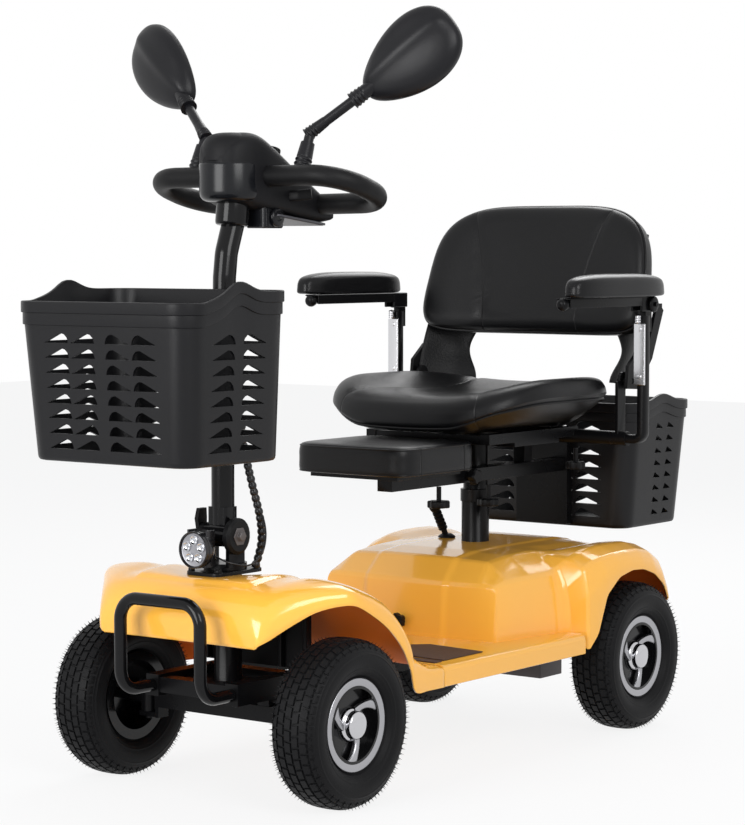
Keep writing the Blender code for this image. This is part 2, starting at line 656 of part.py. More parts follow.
def drive():
    x, z = REAR_AXLE_X, AXLE_HEIGHT
    for name, side in SIDES:
        face, end = side * (DRIVE_HALF + GAP), side * (WHEEL_Y + SPINDLE_END)
        shapes = [
            rod((x, face, z), (x, side * (WHEEL_Y + HUB_IN - GAP), z), 0.016),
            rod((x, face + side * 0.01, z), (x, end, z), AXLE_RADIUS),
        ]
        piece(f"rear_axle_{name}", shapes, BLACK_STEEL)
    shapes = [
        block((x - 0.035, -DRIVE_HALF, z - 0.054), (x + 0.035, DRIVE_HALF, RAIL_BOTTOM - GAP)),
        block((x - 0.030, -RAIL_Y - 0.008, z + 0.0165), (x + 0.030, RAIL_Y + 0.008, RAIL_BOTTOM - GAP)),
        rod((x + 0.02, 0.0, z - 0.014), (x + 0.150, 0.0, z - 0.014), 0.032, 20),
    ]
    piece("drive_unit", shapes, ((0.3, 0.3, 0.31), 0.5, 1.0))
    low, top = FLOOR_HEIGHT + GAP, DECK_HEIGHT - 0.026
    outline = rounded_rectangle(0.125, 0.300, 0.008)
    box = cushion(outline, (-0.160, 0), ((1, low), (1, top - 0.004), (0.97, top)))
    piece("battery_box", [box], BLACK_PLASTIC)


def star_knob(name, face, direction, parent=None, radius=0.013):
    """A five-lobed clamping knob on a short neck."""
    face = np.asarray(face, float)
    direction, side, up = axis_frame(direction)
    turn = np.arange(20) * math.pi / 10
    lobes = radius * (1 + 0.16 * np.cos(5 * turn))
    outline = lobes[:, None] * (np.cos(turn)[:, None] * side + np.sin(turn)[:, None] * up)
    rings = [
        face + share * outline + out * direction
        for share, out in ((0.55, 0.0), (0.6, 0.006), (1.0, 0.008), (1.0, 0.018), (0.85, 0.021))
    ]
    piece(name, [lofted(rings)], BLACK_PLASTIC, parent)


def release_lever():
    """A ribbed handle with a round end, standing on the deck beside the post."""
    foot = np.array([-0.274, -0.068, DECK_HEIGHT + GAP])
    tip = np.array([-0.226, -0.068, DECK_HEIGHT + 0.076])
    length = np.linalg.norm(tip - foot)
    profile = [(0, 0.006), (0.006, 0.006), (0.006, 0.028)]
    for rib in range(4):
        low = 0.030 + 0.010 * rib
        profile += [(0.0065, low), (0.0085, low + 0.001), (0.0085, low + 0.006)]
    profile += [(0.0065, length - 0.002), (0.0095, length + 0.003), (0.007, length + 0.009)]
    profile.append((0, length + 0.011))
    base = cushion(circle(0.016, 18), foot[:2], ((1, foot[2]), (1, foot[2] + 0.003), (0.5, foot[2] + 0.007)))
    piece("release_lever", [base, turned(profile, foot, tip - foot, 8)], BLACK_PLASTIC)


# Tiller: the tube from the folding joint, the console and bar on it, and the mirrors
CONSOLE_GAP = 0.0007


def console_shape(grow=0.0):
    """The housing in cross-sections (x, underside, top, half width) from its back to its front."""
    stations = (
        (0.208, 0.893, 0.903, 0.046), (0.216, 0.888, 0.911, 0.056), (0.246, 0.885, 0.933, 0.061),
        (0.300, 0.885, 0.968, 0.060), (0.350, 0.888, 1.002, 0.057), (0.385, 0.900, 1.022, 0.053),
        (0.412, 0.912, 1.022, 0.048), (0.434, 0.916, 1.009, 0.037), (0.448, 0.922, 0.986, 0.020),
    )
    turn = np.arange(20) * math.pi / 10
    c, s = np.cos(turn), np.sin(turn)
    rings = []
    for x, low, high, half in stations:
        y = (half + grow) * np.sign(c) * np.abs(c) ** 0.55
        z = (low + high) / 2 + ((high - low) / 2 + grow) * np.sign(s) * np.abs(s) ** 0.55
        rings.append(np.stack([np.full(20, x), y, z], 1))
    rings[0][:, 0] -= grow
    rings[-1][:, 0] += grow
    return lofted(rings)


def tiller_tube(parent):
    """A lug between the fork's cheeks and the tube, which leans back under the console."""
    corners = ((0.4235, 0, 0.404), (0.4235, 0, 0.520), (0.418, 0, 0.800), (0.413, 0, 0.838), (0.388, 0, 0.905))
    path = filleted(corners, 0.04, 3)
    shapes = [
        swept(path, circle(COLUMN_RADIUS, 16)),
        rod((0.4005, 0, 0.888), (0.3960, 0, 0.925), COLUMN_RADIUS + 0.0055, 20),
        rod((FOLD_X, -FORK_IN + GAP, FOLD_HEIGHT), (FOLD_X, FORK_IN - GAP, FOLD_HEIGHT), 0.018, 20),
        block((0.4090, -0.0186, FOLD_HEIGHT), (FOLD_X + 0.008, 0.0186, FOLD_HEIGHT + 0.042)),
    ]
    bore = rod((FOLD_X, -0.05, FOLD_HEIGHT), (FOLD_X, 0.05, FOLD_HEIGHT), PIVOT_RADIUS + BEARING_GAP, 12)
    piece("tiller_tube", shapes, BLACK_STEEL, parent, [bore, console_shape(CONSOLE_GAP)])


def handlebars(parent):
    """A closed loop each side of the console, its ends set against the housing."""
    for name, side in SIDES:
        corners = [(0.372, 0.02, 0.956), (0.378, 0.204, 0.956), (0.244, 0.204, 0.915), (0.250, 0.02, 0.914)]
        path = filleted([(x, side * y, z) for x, y, z in corners], 0.060, 5)
        loop = swept(path, circle(GRIP_RADIUS, 12), (0, 0, 1))
        piece(f"handlebar_{name}", [loop], ((0.03, 0.03, 0.032), 0.6), parent, [console_shape(CONSOLE_GAP)])


MIRROR_CENTRE = (0.274, 0.248, 1.135)
MIRROR_LENGTH = 0.178
MIRROR_WIDTH = 0.112


def mirrors(parent):
    """Each a bent stem from the bar to a domed back, with the glass set in its rear."""
    turn = np.arange(18) * 2 * math.pi / 18
    for name, side in SIDES:
        along = unit((-0.18, side * 0.80, 0.60))
        facing = np.array([1.0, side * 0.25, 0.0])
        facing = unit(facing - (facing @ along) * along)
        long_way = MIRROR_LENGTH / 2 * np.cos(turn)
        wide = (MIRROR_WIDTH / 2 + 0.16 * long_way) * np.sign(np.sin(turn)) * np.abs(np.sin(turn)) ** 0.85
        outline = long_way[:, None] * along + wide[:, None] * np.cross(facing, along)
        centre = np.array(MIRROR_CENTRE) * (1, side, 1)
        shell = lofted([
            centre + share * outline + out * facing
            for share, out in (
                (0.88, -0.004), (0.88, -0.008), (1.0, -0.008), (1.0, -0.002), (0.90, 0.010), (0.60, 0.019),
                (0.15, 0.023),
            )
        ])
        neck = centre - 0.055 * along + 0.010 * facing
        stem = filleted(
            [(0.370, side * 0.106, 0.968), (0.352, side * 0.106, 0.992), (0.336, side * 0.106, 1.024),
             (0.305, side * 0.168, 1.090), neck], 0.008, 3,
        )
        shapes = [shell, swept(stem, circle(0.0065, 10))]
        for start, end, radius in (
            ((0.371, 0.106, 0.966), (0.352, 0.106, 0.994), 0.0115),
            ((0.317, 0.144, 1.064), (0.303, 0.171, 1.092), 0.0085),
        ):
            shapes.append(rod(np.array(start) * (1, side, 1), np.array(end) * (1, side, 1), radius, 14))
        piece(f"mirror_{name}", shapes, BLACK_PLASTIC, parent, [handlebar_clearance(side)])
        glass = lofted([centre + 0.875 * outline + out * facing for out in (-0.0043, -0.0068)])
        piece(f"mirror_glass_{name}", [glass], ((0.8, 0.8, 0.82), 0.05, 1.0), parent)


def handlebar_clearance(side):
    """The straight front run of a handlebar with the clearance round it."""
    return rod((0.3713, 0, 0.956), (0.3763, side * 0.15, 0.956), GRIP_RADIUS + GAP, 24)


# Baskets: tapered tubs with round corners, a stepped band under the rim and rows of fin-shaped slots
TUB_FOOT = 0.008
SLOT_ROWS = 8
SLOT_PITCH = 0.0225
SLOT_SILL = 0.020
FIN = ((0.0, 0.0), (1.0, 0.0), (0.97, 0.007), (0.70, 0.0145))
FRONT_BASKET = ((0.224, 0.314, 0.577, 0.528), (0.236, 0.338, 0.585, 0.767))
FRONT_BAND = 0.036
REAR_BASKET = ((0.203, 0.340, -0.5883, 0.340), (0.2162, 0.366, -0.5949, 0.567))
REAR_BAND = 0.034


def wall_place(places, band, height, direction):
    """How far out from the world's origin one outer wall of a tub is at a height, along its direction."""
    (low_length, low_width, low_x, low_z), (top_length, top_width, top_x, top_z) = places
    share = (height - low_z - TUB_FOOT) / (top_z - band - low_z - TUB_FOOT)
    half = (low_length + share * (top_length - low_length), low_width + share * (top_width - low_width))
    middle = (low_x + share * (top_x - low_x), 0)
    axis = 0 if direction[0] else 1
    return middle[axis] * direction[axis] + half[axis] / 2


def slots(places, band, columns):
    """Cutters for rows of slots, from columns of (direction, middle along the wall, start, end)."""
    cutters = []
    for direction, middle, start, end in columns:
        out = np.array([*direction, 0.0])
        along = np.array([direction[1], direction[0], 0.0])
        for row in range(SLOT_ROWS):
            sill = places[0][3] + SLOT_SILL + row * SLOT_PITCH
            face = wall_place(places, band, sill, direction)
            fin = [(middle + start + share * (end - start)) * along + (0, 0, sill + up) for share, up in FIN]
            rings = [[point + (face + depth) * out for point in fin] for depth in (-0.009, 0.006)]
            cutters.append(lofted(rings))
    return cutters


def basket(name, places, band, rim_lift, parent, columns):
    """`places` are the tub's outer (length, width, middle x, height) at its floor and at its rim."""
    (low_length, low_width, low_x, low_z), (top_length, top_width, top_x, top_z) = places
    levels = []
    for share, out, lift, down in (
        (0.0, -0.008, 0, 0.0), (0.0, 0.0, 0, -TUB_FOOT), (1.0, 0.0, 1, band), (1.0, 0.003, 1, band - 0.002),
        (1.0, 0.003, 1, 0.018), (1.0, 0.0045, 1, 0.016), (1.0, 0.0045, 1, 0.0),
        (1.0, -BASKET_WALL + 0.003, 1, 0.0), (1.0, -BASKET_WALL, 1, band), (0.0, -BASKET_WALL, 0, -0.012),
        (0.0, -BASKET_WALL - 0.010, 0, -BASKET_WALL),
    ):
        length = low_length + share * (top_length - low_length) + 2 * out
        width = low_width + share * (top_width - low_width) + 2 * out
        x = low_x + share * (top_x - low_x)
        z = (low_z if share == 0 else top_z) - down
        outline = rounded_rectangle(length, width, 0.034 + out, 3, 5) + (x, 0)
        height = z + lift * rim_lift(outline[:, 0])
        levels.append(np.column_stack([outline, height]))
    piece(name, [lofted(levels)], BLACK_PLASTIC, parent, slots(places, band, columns))


def front_basket(parent):
    """The front tub, whose sides rise in the middle, and the bracket that clamps it to the tiller."""

    def rim_lift(x):
        return 0.014 * np.exp(-(((x - 0.585) / 0.030) ** 2)) + 0.016 * np.clip((0.665 - x) / 0.065, 0, 1)

    columns = []
    for side in (1, -1):
        columns += [((1, 0), 0, side * 0.059, side * 0.0105), ((1, 0), 0, side * 0.111, side * 0.0625)]
        columns += [((0, side), 0.581, -0.062, -0.009), ((0, side), 0.581, 0.062, 0.009)]
    basket("front_basket", FRONT_BASKET, FRONT_BAND, rim_lift, parent, columns)
    plate = []
    for height in (0.580, 0.720):
        wall_x = back_wall_x(height)
        outline = ((-0.006, -0.028), (-GAP, -0.028), (-GAP, 0.028), (-0.006, 0.028))
        plate.append([(wall_x + out, across, height) for out, across in outline])
    shapes, holes = [lofted(plate)], []
    for height in (0.700, 0.600):
        tube_x = np.interp(height, (0.520, 0.800), (0.4235, 0.418))
        shapes += [
            rod((tube_x, 0, height - 0.014), (tube_x, 0, height + 0.014), COLUMN_RADIUS + 0.005, 20),
            block((tube_x, -0.020, height - 0.012), (back_wall_x(height) - 0.003, 0.020, height + 0.012)),
        ]
        lean = np.array([-0.0196, 0, 1.0]) * 0.03
        middle = np.array([tube_x, 0, height])
        holes.append(rod(middle - lean, middle + lean, COLUMN_RADIUS + BEARING_GAP, 32))
    piece("basket_bracket", shapes, BLACK_STEEL, parent, holes)


def back_wall_x(height):
    """Where the rear wall of the front tub is at a height."""
    return -wall_place(FRONT_BASKET, FRONT_BAND, height, (-1, 0))


def rear_basket(parent):
    """The rear tub, whose sides rise in the middle too."""

    def rim_lift(x):
        return 0.014 * np.exp(-(((x + 0.595) / 0.040) ** 2))

    columns = []
    for side in (1, -1):
        columns += [((-1, 0), 0, side * 0.062, side * 0.0105), ((-1, 0), 0, side * 0.122, side * 0.0655)]
        columns += [((0, side), -0.591, -0.062, -0.009), ((0, side), -0.591, 0.062, 0.009)]
    basket("rear_basket", REAR_BASKET, REAR_BAND, rim_lift, parent, columns)


# Seat: a post that turns in its socket, a steel frame, the saddle, and the child pad on its own tube
SEAT_Z = SEAT_UNDERSIDE
SEAT_RAIL_TOP = SEAT_Z - GAP
CHILD_TUBE_Y = 0.042
CHILD_TUBE = (0.443, 0.466)
SADDLE_X = -0.248
HINGE_X = -0.405
HINGE_Z = 0.613
BRACKET_Y = 0.231
POST_X = -0.393
ARM_POST_Y = 0.265
ARM_PIVOT_X = -0.400
ARM_PIVOT_Z = 0.748


def seat_post(parent):
    x, collar = SEAT_POST_X, SOCKET_TOP + GAP
    shapes = [
        rod((x, 0, SOCKET_FLOOR + GAP), (x, 0, SEAT_Z - 0.026), SEAT_POST_RADIUS, 20),
        rod((x, 0, collar), (x, 0, collar + 0.022), SEAT_POST_RADIUS + 0.005, 20),
    ]
    piece("seat_post", shapes, BLACK_STEEL, parent)


def seat_frame(parent):
    """Two rails and cross bars under the saddle, with the tube that carries both arm posts."""
    low, high = SEAT_Z - 0.018, SEAT_RAIL_TOP
    shapes = [block((SEAT_POST_X - 0.07, -0.130, SEAT_Z - 0.0255), (SEAT_POST_X + 0.07, 0.130, low + 0.001))]
    for y in (-0.120, 0.120):
        shapes.append(block((POST_X - 0.004, y - 0.010, low), (-0.118, y + 0.010, high)))
    for x in (-0.130, -0.360):
        shapes.append(block((x - 0.010, -0.120, low + 0.002), (x + 0.010, 0.120, high - 0.002)))
    shapes.append(rod((POST_X, -ARM_POST_Y + 0.030, 0.513), (POST_X, ARM_POST_Y - 0.030, 0.513), 0.0125, 16))
    for x in (-0.131, -0.352):
        shapes.append(block(
            (x - 0.012, CHILD_TUBE_Y - 0.012, CHILD_TUBE[1] + GAP),
            (x + 0.012, CHILD_TUBE_Y + 0.012, low + 0.003),
        ))
    for _, side in SIDES:
        shapes.append(block((POST_X - 0.016, side * 0.214, 0.508), (POST_X + 0.010, side * 0.220, HINGE_Z)))
        shapes.append(rod((HINGE_X, side * 0.214, HINGE_Z), (HINGE_X, side * 0.220, HINGE_Z), 0.016, 16))
        shapes.append(rod((HINGE_X, side * 0.214, HINGE_Z), (HINGE_X, side * 0.234, HINGE_Z), 0.005, 12))
    piece("seat_frame", shapes, BLACK_STEEL, parent)


def seat_pad(parent):
    """A wide saddle: round in front, scooped in the middle, with raised sides."""
    turn = np.arange(32) * 2 * math.pi / 32
    c, s = np.cos(turn), np.sin(turn)
    x = 0.205 * np.sign(c) * np.abs(c) ** 0.62
    y = 0.2130 * np.sign(s) * np.abs(s) ** 0.56
    outline = np.stack([x, y], 1)

    def lift(x, y):
        sides = 0.020 * np.clip(np.abs(y) / 0.2, 0, 1) ** 3
        return sides - 0.008 * np.clip((x + 0.16) / 0.1, 0, 1) ** 2

    top = SEAT_Z + 0.074
    levels = (
        (0.60, SEAT_Z), (0.80, SEAT_Z + 0.002), (0.93, SEAT_Z + 0.014), (1.0, SEAT_Z + 0.038),
        (0.985, SEAT_Z + 0.056), (0.93, top - 0.004), (0.80, top), (0.50, top - 0.008), (0.2, top - 0.012),
    )

    rings = []
    for share, height in levels:
        ring_x, ring_y = (outline * share + (SADDLE_X, 0)).T
        rise = np.clip((height - SEAT_Z) / 0.03, 0, 1)
        rings.append(np.stack([ring_x, ring_y, height + rise * lift(ring_x, ring_y)], 1))
    piece("seat_pad", [lofted(rings)], LEATHER, parent)


def child_seat(parent):
    """A square pad before the saddle, and the tube that carries it and, behind, the rear tub's hanger."""
    low, high = CHILD_TUBE
    tube_shape = block((-0.470, CHILD_TUBE_Y - 0.015, low), (0.060, CHILD_TUBE_Y + 0.015, high))
    plate = block((-0.090, -0.090, high - 0.001), (0.090, 0.090, high + 0.005))
    hanger = block((-0.4865, -0.050, 0.345), (-0.4695, 0.060, 0.500))
    piece("child_seat_tube", [tube_shape, plate, hanger], BLACK_STEEL, parent)
    foot, top = high + 0.005 + GAP, SEAT_Z - 0.008
    pad = cushion(
        rounded_rectangle(0.220, 0.236, 0.034, 4), (0.0, 0),
        ((0.93, foot), (1.0, foot + 0.010), (1.0, top - 0.014), (0.96, top - 0.004), (0.85, top),
         (0.3, top + 0.001)),
    )
    piece("child_seat_pad", [pad], LEATHER, parent)
    star_knob("child_seat_knob", (-0.160, CHILD_TUBE_Y + 0.015 + GAP, (low + high) / 2), (0, 1, 0), parent)


def arm_posts(parent):
    """Each post leaves the cross tube, bends up and carries the pivot of its arm rest."""
    for name, side in SIDES:
        path = filleted([
            (POST_X, side * (ARM_POST_Y - 0.030 + GAP), 0.513), (POST_X, side * ARM_POST_Y, 0.513),
            (POST_X, side * ARM_POST_Y, 0.728),
        ], 0.012, 4)
        x, y, z = ARM_PIVOT_X, side * ARM_POST_Y, ARM_PIVOT_Z
        shapes = [
            swept(path, rounded_rectangle(0.022, 0.016, 0.005, 2), (1, 0, 0)),
            block((x - 0.010, y - 0.006, 0.700), (x + 0.010, y + 0.006, z)),
            rod((x, y - 0.006, z), (x, y + 0.006, z), 0.0100, 16),
            rod((x, y - 0.0120, z), (x, y + 0.0120, z), 0.004, 12),
        ]
        piece(f"arm_post_{name}", shapes, BLACK_STEEL, parent)


def arm_rest(name, side, parent):
    """A channel that straddles the post's end, with the pad on top and a ball knob under the front."""
    y = side * ARM_POST_Y
    floor, top = ARM_PIVOT_Z + 0.0115, ARM_PIVOT_Z + 0.0145
    shapes = [block((-0.410, y - 0.0125, floor), (-0.130, y + 0.0125, top))]
    for wall in (-1, 1):
        inside, outside = y + wall * 0.0068, y + wall * 0.0122
        shapes.append(block((-0.409, inside, ARM_PIVOT_Z - 0.012), (-0.370, outside, top - 0.0005)))
    knob = turned(
        [(0, -0.024), (0.006, -0.022), (0.009, -0.014), (0.006, -0.006), (0.004, -0.004), (0.004, 0.002),
         (0, 0.002)],
        (-0.161, y, floor), (0, 0, 1), 14,
    )
    shapes.append(knob)
    hole = rod((ARM_PIVOT_X, y - 0.03, ARM_PIVOT_Z), (ARM_PIVOT_X, y + 0.03, ARM_PIVOT_Z), 0.0044, 12)
    piece(f"arm_bar_{name}", shapes, BLACK_STEEL, parent, [hole])
    foot = top + GAP
    pad = cushion(
        rounded_rectangle(0.284, 0.054, 0.024, 4), (-0.271, side * 0.283),
        ((0.88, foot), (1.0, foot + 0.008), (1.0, foot + 0.025), (0.93, foot + 0.035), (0.6, foot + 0.038)),
    )
    piece(f"arm_pad_{name}", [pad], LEATHER, parent)


# Backrest: two side brackets joined by a plate behind the pad, hinged at the seat's rear corners
BACK_LEAN = math.radians(14)
BACK_FRONT = -0.424
BACK_BOTTOM = 0.700
BACK_HEIGHT = 0.232
BACK_DEPTH = 0.060


def back_place(across, up, depth):
    """World points from a place on the leaning back: across it, up its face and into its depth."""
    x = BACK_FRONT - up * math.sin(BACK_LEAN) - depth * math.cos(BACK_LEAN)
    z = BACK_BOTTOM + up * math.cos(BACK_LEAN) - depth * math.sin(BACK_LEAN)
    wrap = 0.020 * (np.asarray(across) / 0.23) ** 2
    return np.stack(np.broadcast_arrays(x + wrap, across, z), -1)


def backrest(parent):
    turn = np.arange(32) * 2 * math.pi / 32
    c, s = np.cos(turn), np.sin(turn)
    across = 0.237 * np.sign(c) * np.abs(c) ** np.where(s < 0, 0.34, 0.45)
    up = BACK_HEIGHT / 2 * (1 + np.sign(s) * np.abs(s) ** np.where(s < 0, 0.42, 0.58))
    across = across * (1 - 0.13 * (up / BACK_HEIGHT) ** 2)
    rings = []
    for share, depth in (
        (0.3, 0.001), (0.75, 0.0), (0.93, 0.005), (1.0, 0.018), (1.0, BACK_DEPTH - 0.012), (0.95, BACK_DEPTH),
    ):
        rings.append(back_place(across * share, BACK_HEIGHT / 2 + (up - BACK_HEIGHT / 2) * share, depth))
    piece("backrest_pad", [lofted(rings)], LEATHER, parent)

    shapes = []
    plate = []
    for height in (0.030, 0.190):
        ring = [back_place(a, height, BACK_DEPTH + d)[()] for a, d in (
            (-0.2, 0.0010), (-0.1, 0.0010), (0.0, 0.0010), (0.1, 0.0010), (0.2, 0.0010),
            (0.2, 0.006), (0.1, 0.006), (0.0, 0.006), (-0.1, 0.006), (-0.2, 0.006),
        )]
        plate.append(ring)
    shapes.append(lofted(plate))
    for _, side in SIDES:
        outer, inner = side * (BRACKET_Y + 0.004), side * (BRACKET_Y - 0.0025)
        outline = (
            (-0.389, 0.600), (-0.425, 0.598), (-0.474, 0.650), (-0.512, 0.735), (-0.492, 0.750),
            (-0.473, 0.700), (-0.462, 0.679), (-0.430, 0.668), (-0.394, 0.640),
        )
        shapes.append(lofted([[(x, y, z) for x, z in outline] for y in (inner, outer)]))
        lug = back_place(0.195, 0.060, BACK_DEPTH + 0.0035)
        shapes.append(block(
            (lug[0] - 0.022, side * 0.190, lug[2] - 0.004),
            (lug[0] + 0.001, outer - side * 0.0005, lug[2] + 0.004),
        ))
    hole = rod((HINGE_X, -0.3, HINGE_Z), (HINGE_X, 0.3, HINGE_Z), 0.0054, 12)
    piece("backrest_frame", shapes, BLACK_STEEL, parent, [hole])


# Assembly: axes of the joints, then the pieces that hang on them
def build():
    frame()
    front_axle()
    front_shell()
    floor_pan()
    floor_mats()
    rear_shell()
    column_base()
    bumper()
    drive()
    release_lever()
    star_knob("housing_knob", (-0.0473, 0, 0.214), (1, 0, 0), radius=0.012)

    steer = joint_axis("axis_steer", (FRONT_AXLE_X, 0, FORK_BASE))
    steering_shaft(steer)
    fold_joint_trim(steer)
    headlight(steer)
    for name, side in SIDES:
        kingpin = joint_axis(f"axis_knuckle_{name}", (FRONT_AXLE_X, side * KINGPIN_Y, AXLE_HEIGHT))
        knuckle(name, side, kingpin)
        wheel(f"front_{name}", (FRONT_AXLE_X, side * WHEEL_Y, AXLE_HEIGHT), side, kingpin)
        if name == "left":
            tie_rod(joint_axis("axis_tie_rod", (ARM_END_X, side * KINGPIN_Y, ROD_BOTTOM), kingpin))
        wheel(f"rear_{name}", (REAR_AXLE_X, side * WHEEL_Y, AXLE_HEIGHT), side)

    tiller = joint_axis("axis_tiller_fold", (FOLD_X, 0, FOLD_HEIGHT), steer)
    tiller_tube(tiller)
    piece("console", [console_shape()], BLACK_PLASTIC, tiller)
    handlebars(tiller)
    mirrors(tiller)
    front_basket(tiller)

    seat = joint_axis("axis_seat_swivel", (SEAT_POST_X, 0, SOCKET_TOP))
    seat_post(seat)
    seat_frame(seat)
    seat_pad(seat)
    child_seat(seat)
    rear_basket(seat)
    arm_posts(seat)
    for name, side in SIDES:
        pivot = (ARM_PIVOT_X, side * ARM_POST_Y, ARM_PIVOT_Z)
        arm_rest(name, side, joint_axis(f"axis_arm_{name}", pivot, seat))
    backrest(joint_axis("axis_backrest", (HINGE_X, 0, HINGE_Z), seat))


build()
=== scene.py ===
import json
import math

import bmesh
import bpy
import numpy as np
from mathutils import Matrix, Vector


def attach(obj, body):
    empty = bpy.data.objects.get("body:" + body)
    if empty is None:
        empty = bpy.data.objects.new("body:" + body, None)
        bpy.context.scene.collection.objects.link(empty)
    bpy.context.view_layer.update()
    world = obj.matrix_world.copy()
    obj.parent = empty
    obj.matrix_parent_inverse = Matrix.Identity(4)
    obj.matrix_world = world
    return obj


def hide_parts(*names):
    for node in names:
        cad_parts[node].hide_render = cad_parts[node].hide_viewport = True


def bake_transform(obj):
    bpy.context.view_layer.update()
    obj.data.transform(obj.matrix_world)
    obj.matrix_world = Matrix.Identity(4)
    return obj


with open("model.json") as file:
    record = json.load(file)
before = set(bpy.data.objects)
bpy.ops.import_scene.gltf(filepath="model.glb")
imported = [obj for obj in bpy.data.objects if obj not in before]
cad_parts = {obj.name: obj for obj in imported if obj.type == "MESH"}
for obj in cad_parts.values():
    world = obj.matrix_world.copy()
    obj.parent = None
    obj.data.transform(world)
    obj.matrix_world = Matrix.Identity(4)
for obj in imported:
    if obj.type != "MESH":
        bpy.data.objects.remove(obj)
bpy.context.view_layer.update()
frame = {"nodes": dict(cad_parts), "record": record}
nodes = frame["nodes"]
SIDES = (("left", 1), ("right", -1))

# Studio: a long lens at the height of the tiller head, a pale floor that keeps the shadow, and
# large soft lamps at the left, low in front, and above behind.
bpy.context.scene.view_settings.view_transform = "Standard"
camera = bpy.data.objects.new("camera", bpy.data.cameras.new("camera"))
bpy.context.scene.collection.objects.link(camera)
camera.location = (3.48022, 2.58399, 0.84704)
camera.data.lens = 112.94
camera.data.sensor_width = 36
camera.rotation_euler = (Vector((0.0372, 0.0, 0.5716)) - camera.location).to_track_quat("-Z", "Y").to_euler()
camera.data.clip_end = 60
bpy.context.scene.camera = camera


def soft_lamp(name, place, size, watts):
    """A square area lamp that looks at the middle of the object."""
    lamp = bpy.data.objects.new(name, bpy.data.lights.new(name, "AREA"))
    lamp.data.size = size
    lamp.data.energy = watts
    lamp.location = place
    lamp.rotation_euler = (Vector((0, 0, 0.5)) - lamp.location).to_track_quat("-Z", "Y").to_euler()
    bpy.context.scene.collection.objects.link(lamp)


soft_lamp("lamp_left", (1.8, 3.2, 2.2), 1.8, 70)
soft_lamp("lamp_front", (4.2, -0.4, 1.3), 2.0, 104)
soft_lamp("lamp_back", (-2.6, -0.6, 3.0), 2.2, 60)


def calc(tree, operation, *values):
    """The output of one new Math node, whose inputs are given as numbers or as sockets."""
    node = tree.nodes.new("ShaderNodeMath")
    node.operation = operation
    for socket, value in zip(node.inputs, values):
        if isinstance(value, float):
            socket.default_value = value
        else:
            tree.links.new(value, socket)
    return node.outputs[0]


def white_where_seen(tree, shader, share):
    """Mixes in the next shader, by that share, for what the camera, reflections and refractions see."""
    light = tree.nodes.new("ShaderNodeLightPath")
    seen = light.outputs["Is Camera Ray"]
    for ray in ("Is Glossy Ray", "Is Transmission Ray"):
        seen = calc(tree, "MAXIMUM", seen, light.outputs[ray])
    mix = tree.nodes.new("ShaderNodeMixShader")
    tree.links.new(calc(tree, "MULTIPLY", seen, share), mix.inputs[0])
    tree.links.new(shader.outputs[0], mix.inputs[1])
    return mix


world = bpy.data.worlds.new("world")
bpy.context.scene.world = world
world.use_nodes = True
sky = world.node_tree
sky.nodes["Background"].inputs["Color"].default_value = (0.9, 0.92, 0.96, 1)
sky.nodes["Background"].inputs["Strength"].default_value = 0.5
bright = sky.nodes.new("ShaderNodeBackground")
bright.inputs["Color"].default_value = (1, 1, 1, 1)
mixed = white_where_seen(sky, sky.nodes["Background"], 1.0)
sky.links.new(bright.outputs[0], mixed.inputs[2])
sky.links.new(mixed.outputs[0], sky.nodes["World Output"].inputs["Surface"])

floor_mesh = bpy.data.meshes.new("studio_floor")
floor_mesh.from_pydata([(-9, -9, 0), (9, -9, 0), (9, 9, 0), (-9, 9, 0)], [], [(0, 1, 2, 3)])
studio_floor = bpy.data.objects.new("studio_floor", floor_mesh)
bpy.context.scene.collection.objects.link(studio_floor)
floor_look = bpy.data.materials.new("studio_floor")
floor_look.use_nodes = True
floor_tree = floor_look.node_tree
floor_shader = floor_tree.nodes["Principled BSDF"]
floor_shader.inputs["Base Color"].default_value = (0.80, 0.80, 0.81, 1)
floor_shader.inputs["Roughness"].default_value = 0.9
floor_glow = floor_tree.nodes.new("ShaderNodeEmission")
floor_mix = white_where_seen(floor_tree, floor_shader, 0.86)
floor_tree.links.new(floor_glow.outputs[0], floor_mix.inputs[2])
floor_tree.links.new(floor_mix.outputs[0], floor_tree.nodes["Material Output"].inputs["Surface"])
floor_mesh.materials.append(floor_look)


# Body shells: vacuum-formed covers in glossy orange-yellow over the frame; inside matt, with painted shade.
# Their creases are rounded as a mould rounds them, and the wall is given by a Solidify.
def surface_grain():
    """Height is fine noise plus soft cells. Roughness is a base with slow cloudy variation round it."""
    group = bpy.data.node_groups.new("surface_grain", "ShaderNodeTree")
    for name, value in (("Scale", 400.0), ("Roughness", 0.5), ("Variation", 0.05)):
        group.interface.new_socket(name, in_out="INPUT", socket_type="NodeSocketFloat").default_value = value
    for name in ("Height", "Roughness"):
        group.interface.new_socket(name, in_out="OUTPUT", socket_type="NodeSocketFloat")
    new, link = group.nodes.new, group.links.new
    entry, leave, place = new("NodeGroupInput"), new("NodeGroupOutput"), new("ShaderNodeTexCoord")
    cells, fine, cloud = new("ShaderNodeTexVoronoi"), new("ShaderNodeTexNoise"), new("ShaderNodeTexNoise")
    cells.feature = "SMOOTH_F1"
    cells.inputs["Smoothness"].default_value = 0.6
    fine.inputs["Detail"].default_value = 3
    cloud.inputs["Scale"].default_value = 14
    cloud.inputs["Detail"].default_value = 4
    for texture in (cells, fine, cloud):
        link(place.outputs["Object"], texture.inputs["Vector"])
    for texture in (cells, fine):
        link(entry.outputs["Scale"], texture.inputs["Scale"])
    base, variation = entry.outputs["Roughness"], entry.outputs["Variation"]
    height = calc(group, "ADD", cells.outputs["Distance"], fine.outputs["Fac"])
    spread = calc(group, "MULTIPLY_ADD", cloud.outputs["Fac"], variation, base)
    rough = calc(group, "SUBTRACT", spread, calc(group, "MULTIPLY", variation, 0.5))
    link(height, leave.inputs["Height"])
    link(rough, leave.inputs["Roughness"])
    return group


